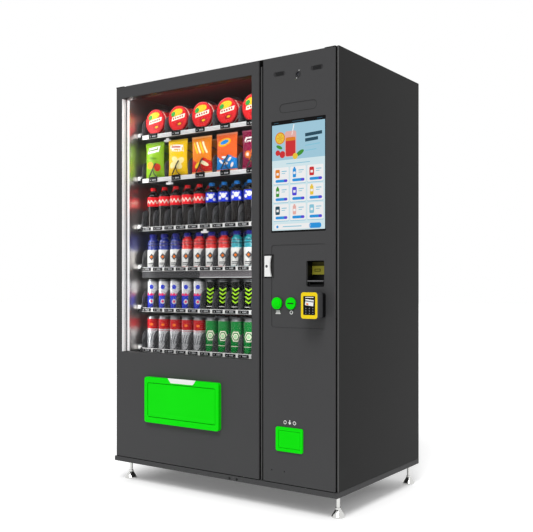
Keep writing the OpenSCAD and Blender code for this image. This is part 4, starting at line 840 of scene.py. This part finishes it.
make_piece("glazing_beads", beads, [bead_acrylic, spacer_grey, head_brown], "glass_door")

# Delivery opening: a bezel and a push-in flap moulded in bright green ABS, with a satin skin.
# The flap swings inwards on a pin; a plain white tab sits on the bezel.
green_abs = grained("bright_green_moulded_abs", 1.5, (0.32, 0.44), {"Specular IOR Level": 0.07}, bump=0.12)
tree = green_abs.node_tree
place = add(tree, "TexCoord").outputs["Object"]
drift = add(tree, "TexNoise", {"Vector": place, "Scale": 1 / (180 * MM)})
paint(green_abs, drift, rgb("#03e403"), rgb("#08ea08"))
dress(["delivery_bezel", "delivery_flap"], green_abs, 2.0)
dress(["coin_entry", "change_button", "coin_cup", "coin_flap"], green_abs, 1.0)
white_abs = grained("white_moulded_abs", 1.5, (0.3, 0.42),
                    {"Base Color": rgb("#f3f3f2"), "Specular IOR Level": 0.3})
dress(["bezel_tab"], white_abs, 0.8)

# Control door: the same powder-coated steel leaf, with a slim cover strip set flush in it.
# Two slotted speaker grilles and a camera, held by two small screws, sit at its top.
dress(["control_door_panel", "cover_strip", "payment_plate"], charcoal_coat, 0.7)
grille_coat = powder_coat("dark_grey_grille_paint", "#3a3a3b", roughness=0.55, gloss=0.08)
dress(["speaker_grilles", "camera"], grille_coat, 0.5)
dress(["coin_mechanism"], black_abs, 0.5)
LEAF_X, LEAF_Y, EYE_Z = 452.5, -345.0, 1847
COVER_Z, COVER_R, COVER_HALF, SEAM_STEPS = 1712, 18, 75, 40
# A thin black ring round the cover strip, flat on the leaf: painted shade for the strip's gap.
seam = bmesh.new()
lines = []
for reach in (COVER_R + 2.2, COVER_R - 0.2):
    line = []
    for k in range(SEAM_STEPS):
        a = 2 * math.pi * (k + 0.5) / SEAM_STEPS
        x = LEAF_X + math.copysign(COVER_HALF, math.cos(a)) + reach * math.cos(a)
        line.append(seam.verts.new((x * MM, (LEAF_Y - 0.08) * MM, (COVER_Z + reach * math.sin(a)) * MM)))
    lines.append(line)
bridge(seam, *lines)
make_piece("cover_strip_seam", seam, [seal_rubber], "control_door")
lens_glass, tree = new_material("dark_lens_glass", {"Roughness": 0.05})
coating = add(tree, "TexGradient", {"Vector": add(tree, "TexCoord").outputs["Object"]})
paint(lens_glass, coating, rgb("#08090f"), rgb("#141a2e"))
lens = bmesh.new()
LENS_LINE = ((7.4, 0, 0), (5, -1.2, 0), (2.4, -1.9, 0), (0, -2.1, 0))
turn(lens, LENS_LINE, (LEAF_X, LEAF_Y + 1.8, EYE_Z), 24, "y")
make_piece("camera_lens", lens, [lens_glass], "control_door")
screws = bmesh.new()
SCREW_LINE = ((2.2, 0.2, 0), (2, -0.5, 0), (1, -0.9, 0), (0, -1, 0))
for s, h in ((6, 15.5), (-6, -15.5)):
    turn(screws, SCREW_LINE, (LEAF_X + s, LEAF_Y, EYE_Z + h), 12, "y")
make_piece("camera_screws", screws, [nickel], "control_door")

# Touch screen: black cover glass bonded over a lit panel that shows a plain product menu.
# The panel's pixels are drawn coarser than life.
cover_glass = grained("black_cover_glass", 45, (0.06, 0.14),
                      {"Base Color": rgb("#050506"), "Specular IOR Level": 0.1}, detail=3)
dress(["touch_screen"], cover_glass)


def lit_pixels(name, colour):
    """One colour of the display: a fine pixel grid that glows behind smooth glass."""
    material, tree = new_material(name, {"Base Color": rgb("#191919"), "Roughness": 0.12,
                                         "Specular IOR Level": 0.1, "Emission Strength": 0.85})
    place = add(tree, "TexCoord").outputs["Object"]
    grid = add(tree, "TexChecker", {"Vector": place, "Scale": 1 / (2 * MM), "Color1": rgb(colour),
                                    "Color2": rgb(colour, 0.94)})
    plug(tree, tree.nodes["Principled BSDF"], {"Emission Color": grid})
    return material


SCREEN_Z0, SCREEN_Y, LAYER = 1187.0, -344.0, 0.12
screen_colours = ("#ffffff", "#a9d5e8", "#dff5fb", "#1f9be8", "#5648e0", "#f08a1c", "#d92b2e", "#3f9b2f",
                  "#1d4a5c", "#f7d13a", "#f4b9b0", "#8fd0e6")
WHITE, SKY, MIST, AZURE, VIOLET, ORANGE, RED, GREEN, INK, LEMON, PINK, SHADE = range(12)
menu = bmesh.new()


def blob(outline, layer, slot):
    patch(menu, outline, face_at(LEAF_X, SCREEN_Y - LAYER * layer, SCREEN_Z0), slot, 1)


def pill(cx, cy, w, h, r, layer, slot):
    blob(round_corners(cx, cy, w, h, r, 5), layer, slot)


pill(0, 232.5, 268, 449, 1, 1, MIST)
pill(0, 381.5, 268, 151, 0.5, 2, SKY)
pill(-38, 372, 58, 108, 10, 3, PINK)
pill(-38, 360, 50, 80, 8, 4, RED)
pill(-38, 392, 50, 14, 4, 5, ORANGE)
blob(bar(-26, 430, 5, 46, -14), 3, WHITE)
blob(oval(-92, 400, 26, 26), 3, ORANGE)
blob(oval(-92, 400, 21, 21), 4, LEMON)
for ray in range(6):
    a = ray * math.pi / 3
    blob(bar(-92 + 10 * math.cos(a), 400 + 10 * math.sin(a), 15, 2, ray * 60), 5, ORANGE)
blob(oval(-80, 330, 15, 15), 3, RED)
blob(oval(-104, 338, 12, 12), 4, RED)
blob(oval(10, 330, 22, 9, 28), 3, GREEN)
blob(oval(-96, 362, 17, 7, -24), 5, GREEN)
blob(oval(-14, 318, 13, 13), 6, LEMON)
for line, (w, t) in enumerate(((84, 14), (64, 14), (74, 4), (56, 4))):
    blob(bar(78 - (84 - w) / 2, 404 - 22 * line, w, t, 3), 3, INK if line < 2 else SHADE)
blob(bar(0, 289, 120, 3.2), 2, SHADE)
thumbs = (ORANGE, AZURE, RED, GREEN, VIOLET, LEMON, INK, PINK, SHADE)
for row in range(3):
    for column in range(3):
        cx, cy = -87 + 87 * column, 240 - 78 * row
        pill(cx, cy - 2.5, 79, 70, 5, 2, SHADE)
        pill(cx, cy, 79, 70, 5, 3, WHITE)
        tint = thumbs[row * 3 + column]
        if (row + column) % 2:
            pill(cx - 18, cy + 8, 17, 38, 4, 4, tint)
            pill(cx - 18, cy + 29, 8, 8, 1.5, 4, tint)
        else:
            pill(cx - 18, cy + 9, 23, 36, 5, 4, tint)
        pill(cx - 18, cy + 8, 12, 10, 2, 5, WHITE)
        blob(bar(cx + 16, cy + 18, 26, 4), 4, SHADE)
        blob(bar(cx + 12, cy + 9, 18, 3), 4, SHADE)
        pill(cx + 2, cy - 22, 62, 12, 5.9, 4, AZURE)
        pill(cx + 24, cy - 22, 18, 12, 5.9, 5, VIOLET)
pill(-30, 24, 186, 22, 10, 3, WHITE)
pill(86, 24, 60, 22, 10, 3, AZURE)
blob(oval(-106, 24, 6, 6), 4, AZURE)
blob(bar(-30, 24, 96, 4), 4, SHADE)
for s, w in ((-112, 22), (0, 60), (108, 26)):
    blob(bar(s, 465, w, 3), 1, INK)
make_piece("menu_picture", menu, [lit_pixels(f"display_colour_{i}", c) for i, c in enumerate(screen_colours)],
           "control_door")

# Payment plate: the bill acceptor's deep black pocket with a grey lip, and a printed note guide on its
# back wall.
dress(["bill_acceptor"], black_abs, 1.0)
guide_yellow = printed("yellow_guide_print", "#b7b03c", 0.4)
guide_ink = printed("dark_guide_print", "#4a4718", 0.5)
lip_grey = printed("grey_moulded_lip", "#6d6d6f", 0.4)
GUIDE_X0, GUIDE_X1, GUIDE_Y0, GUIDE_Y1 = 494.2, 580.8, -299, -287.1
guide = bmesh.new()
box(guide, GUIDE_X0, GUIDE_X1, GUIDE_Y0, GUIDE_Y1, 1008, 1043.5)
for z in (1046, 1051.5, 1057):
    box(guide, GUIDE_X0, GUIDE_X1, GUIDE_Y0, GUIDE_Y1, z, z + 3.5, 1)
box(guide, 506, 536, GUIDE_Y0 - 0.3, GUIDE_Y0 + 0.1, 1020, 1032, 1)
box(guide, 510, 532, GUIDE_Y0 - 0.5, GUIDE_Y0 - 0.2, 1023, 1029)
make_piece("note_guide_print", guide, [guide_yellow, guide_ink], "control_door")
lip = bmesh.new()
round_plate(lip, 537.5, 980.5, 80, 5, 2, -343.4, -336, ease=1)
make_piece("note_slot_lip", lip, [lip_grey], "control_door")

# Card terminal: a moulded box that stands proud of the plate, grey in front and black behind.
# A yellow moulded face frames a dark glass display with a plain card picture and key dots.
yellow_abs = grained("yellow_moulded_abs", 1.5, (0.28, 0.4), {"Specular IOR Level": 0.2})
tree = yellow_abs.node_tree
facing = add(tree, "SeparateXYZ", {0: add(tree, "TexCoord").outputs["Normal"]})
rim = add(tree, "Math", {0: facing.outputs["Y"], 1: -0.6}, operation="GREATER_THAN")
paint(yellow_abs, rim, rgb("#f6d60c"), rgb("#4a4a4c"))
dress(["terminal_face"], yellow_abs, 1.5)
SHELL_Y = 374 * MM
reader_abs = grained("grey_over_black_moulded_abs", 1.2, (0.36, 0.5), {"Specular IOR Level": 0.15})
tree = reader_abs.node_tree
front_shell = add(tree, "Math", {0: off(tree, "Y"), 1: SHELL_Y}, operation="GREATER_THAN")
paint(reader_abs, front_shell, rgb("#0b0b0c"), rgb("#3f3f41"))
dress(["card_terminal"], reader_abs, 1.0)
reader = bmesh.new()
TERM_X, TERM_Z, TERM_Y = 554.0, 881.0, -411.4
round_plate(reader, TERM_X, TERM_Z, 57.4, 76.4, 3, TERM_Y, TERM_Y + 0.4)
reader_prints = [(bar(0, 33, 40, 3), 1, 1), (bar(0, 12, 40, 25, -6), 1, 1), (bar(0, 17, 40, 5, -6), 2, 2),
                 (bar(-10, 6, 10, 7, -6), 2, 3)]
for row in range(3):
    for column in range(3):
        reader_prints.append((oval(-17 + 17 * column, -12 - 10 * row, 2.5, 2.5), 1, 2))
for outline, layer, ink in reader_prints:
    patch(reader, outline, face_at(TERM_X, TERM_Y - LAYER * layer, TERM_Z), ink, 1)
make_piece("reader_display", reader, [cover_glass, white_abs, printed("grey_key_print", "#7d8086", 0.4),
                                      amber_ink], "control_door")

# Pictograms, printed in white ink: a stack of coins for the change button, a coin for the coin entry
# and an arrow between two coins for the coin return.
PLATE_Y, BUTTON_X, COIN_X, RETURN_X, FITTING_Z = -343.0, 349, 418, 411, 886
signs = bmesh.new()
sign_prints = [(bar(BUTTON_X, 842 + 5.5 * k, 26 - 4 * k, 3.2), PLATE_Y - 0.3, 0) for k in range(3)]
for s, h, y in ((COIN_X, 848, PLATE_Y), (RETURN_X - 24, 383, LEAF_Y), (RETURN_X + 24, 383, LEAF_Y)):
    sign_prints += [(oval(s, h, 8, 8), y - 0.3, 0), (oval(s, h, 5.4, 5.4), y - 0.5, 1)]
arrow_head = [(RETURN_X - 8, 384), (RETURN_X + 8, 384), (RETURN_X, 374)]
sign_prints += [(bar(RETURN_X, 388, 4, 12), LEAF_Y - 0.3, 0), (arrow_head, LEAF_Y - 0.3, 0)]
for outline, y, ink in sign_prints:
    patch(signs, outline, face_at(0, y, 0), ink, 1)
make_piece("payment_pictograms", signs, [white_abs, charcoal_coat], "control_door")

# Round fittings: a raised cap on the change button, moulded in ABS and pressed into place, and a thin black
# plate over the coin entry's slot: painted shade for its dark opening.
button_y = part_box("change_button")[0][1] / MM
cap = bmesh.new()
CAP_LINE = ((18.5, 0.4, 0), (18, -2.6, 0), (16.4, -3.6, 0), (0, -4.2, 0))
turn(cap, CAP_LINE, (BUTTON_X, button_y, FITTING_Z), 36, "y")
make_piece("change_button_cap", cap, [green_abs], "change_button")
coin_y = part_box("coin_entry")[0][1] / MM
lips = bmesh.new()
round_plate(lips, COIN_X, FITTING_Z, 31, 4.8, 1.2, coin_y - 0.5, coin_y + 2, ease=0.3)
make_piece("coin_slot_lips", lips, [black_abs], "control_door")

# Lock: a white ABS paddle on dark steel pins, with a burnished steel key cylinder.
# It hangs in a pocket with a black sheet at its back: painted shade for the pocket's depth.
key_steel = printed("burnished_lock_steel", "#5b5b5d", 0.3, metallic=1.0)
dress(["lock_cylinder"], key_steel, 0.3)
PADDLE_Z, PIN_UP = 1044 * MM, 44.6 * MM
paddle_abs = grained("white_abs_on_dark_pins", 1.5, (0.3, 0.42), {"Specular IOR Level": 0.3})
tree = paddle_abs.node_tree
pin = add(tree, "Math", {0: off(tree, "Z", PADDLE_Z), 1: PIN_UP}, operation="GREATER_THAN")
paint(paddle_abs, pin, rgb("#f3f3f2"), rgb("#0b0b0c"))
dress(["lock_paddle"], paddle_abs, 0.8)
liner = bmesh.new()
box(liner, 275, 327, -337.35, -337.05, 993.5, 1094.5)
make_piece("lock_pocket_liner", liner, [seal_rubber], "control_door")

# Machine bay behind the delivery bin: the cooling unit on the base, out of sight behind the closed fronts.
# The compressor's shell is enamelled black, the condenser is bare sheet.
enamel = powder_coat("black_compressor_enamel", "#121214", roughness=0.25, peel_mm=3)
dress(["compressor"], enamel)
dress(["condenser"], galvanised, 0.5)
dress(["condenser_fan"], black_abs, 0.5)
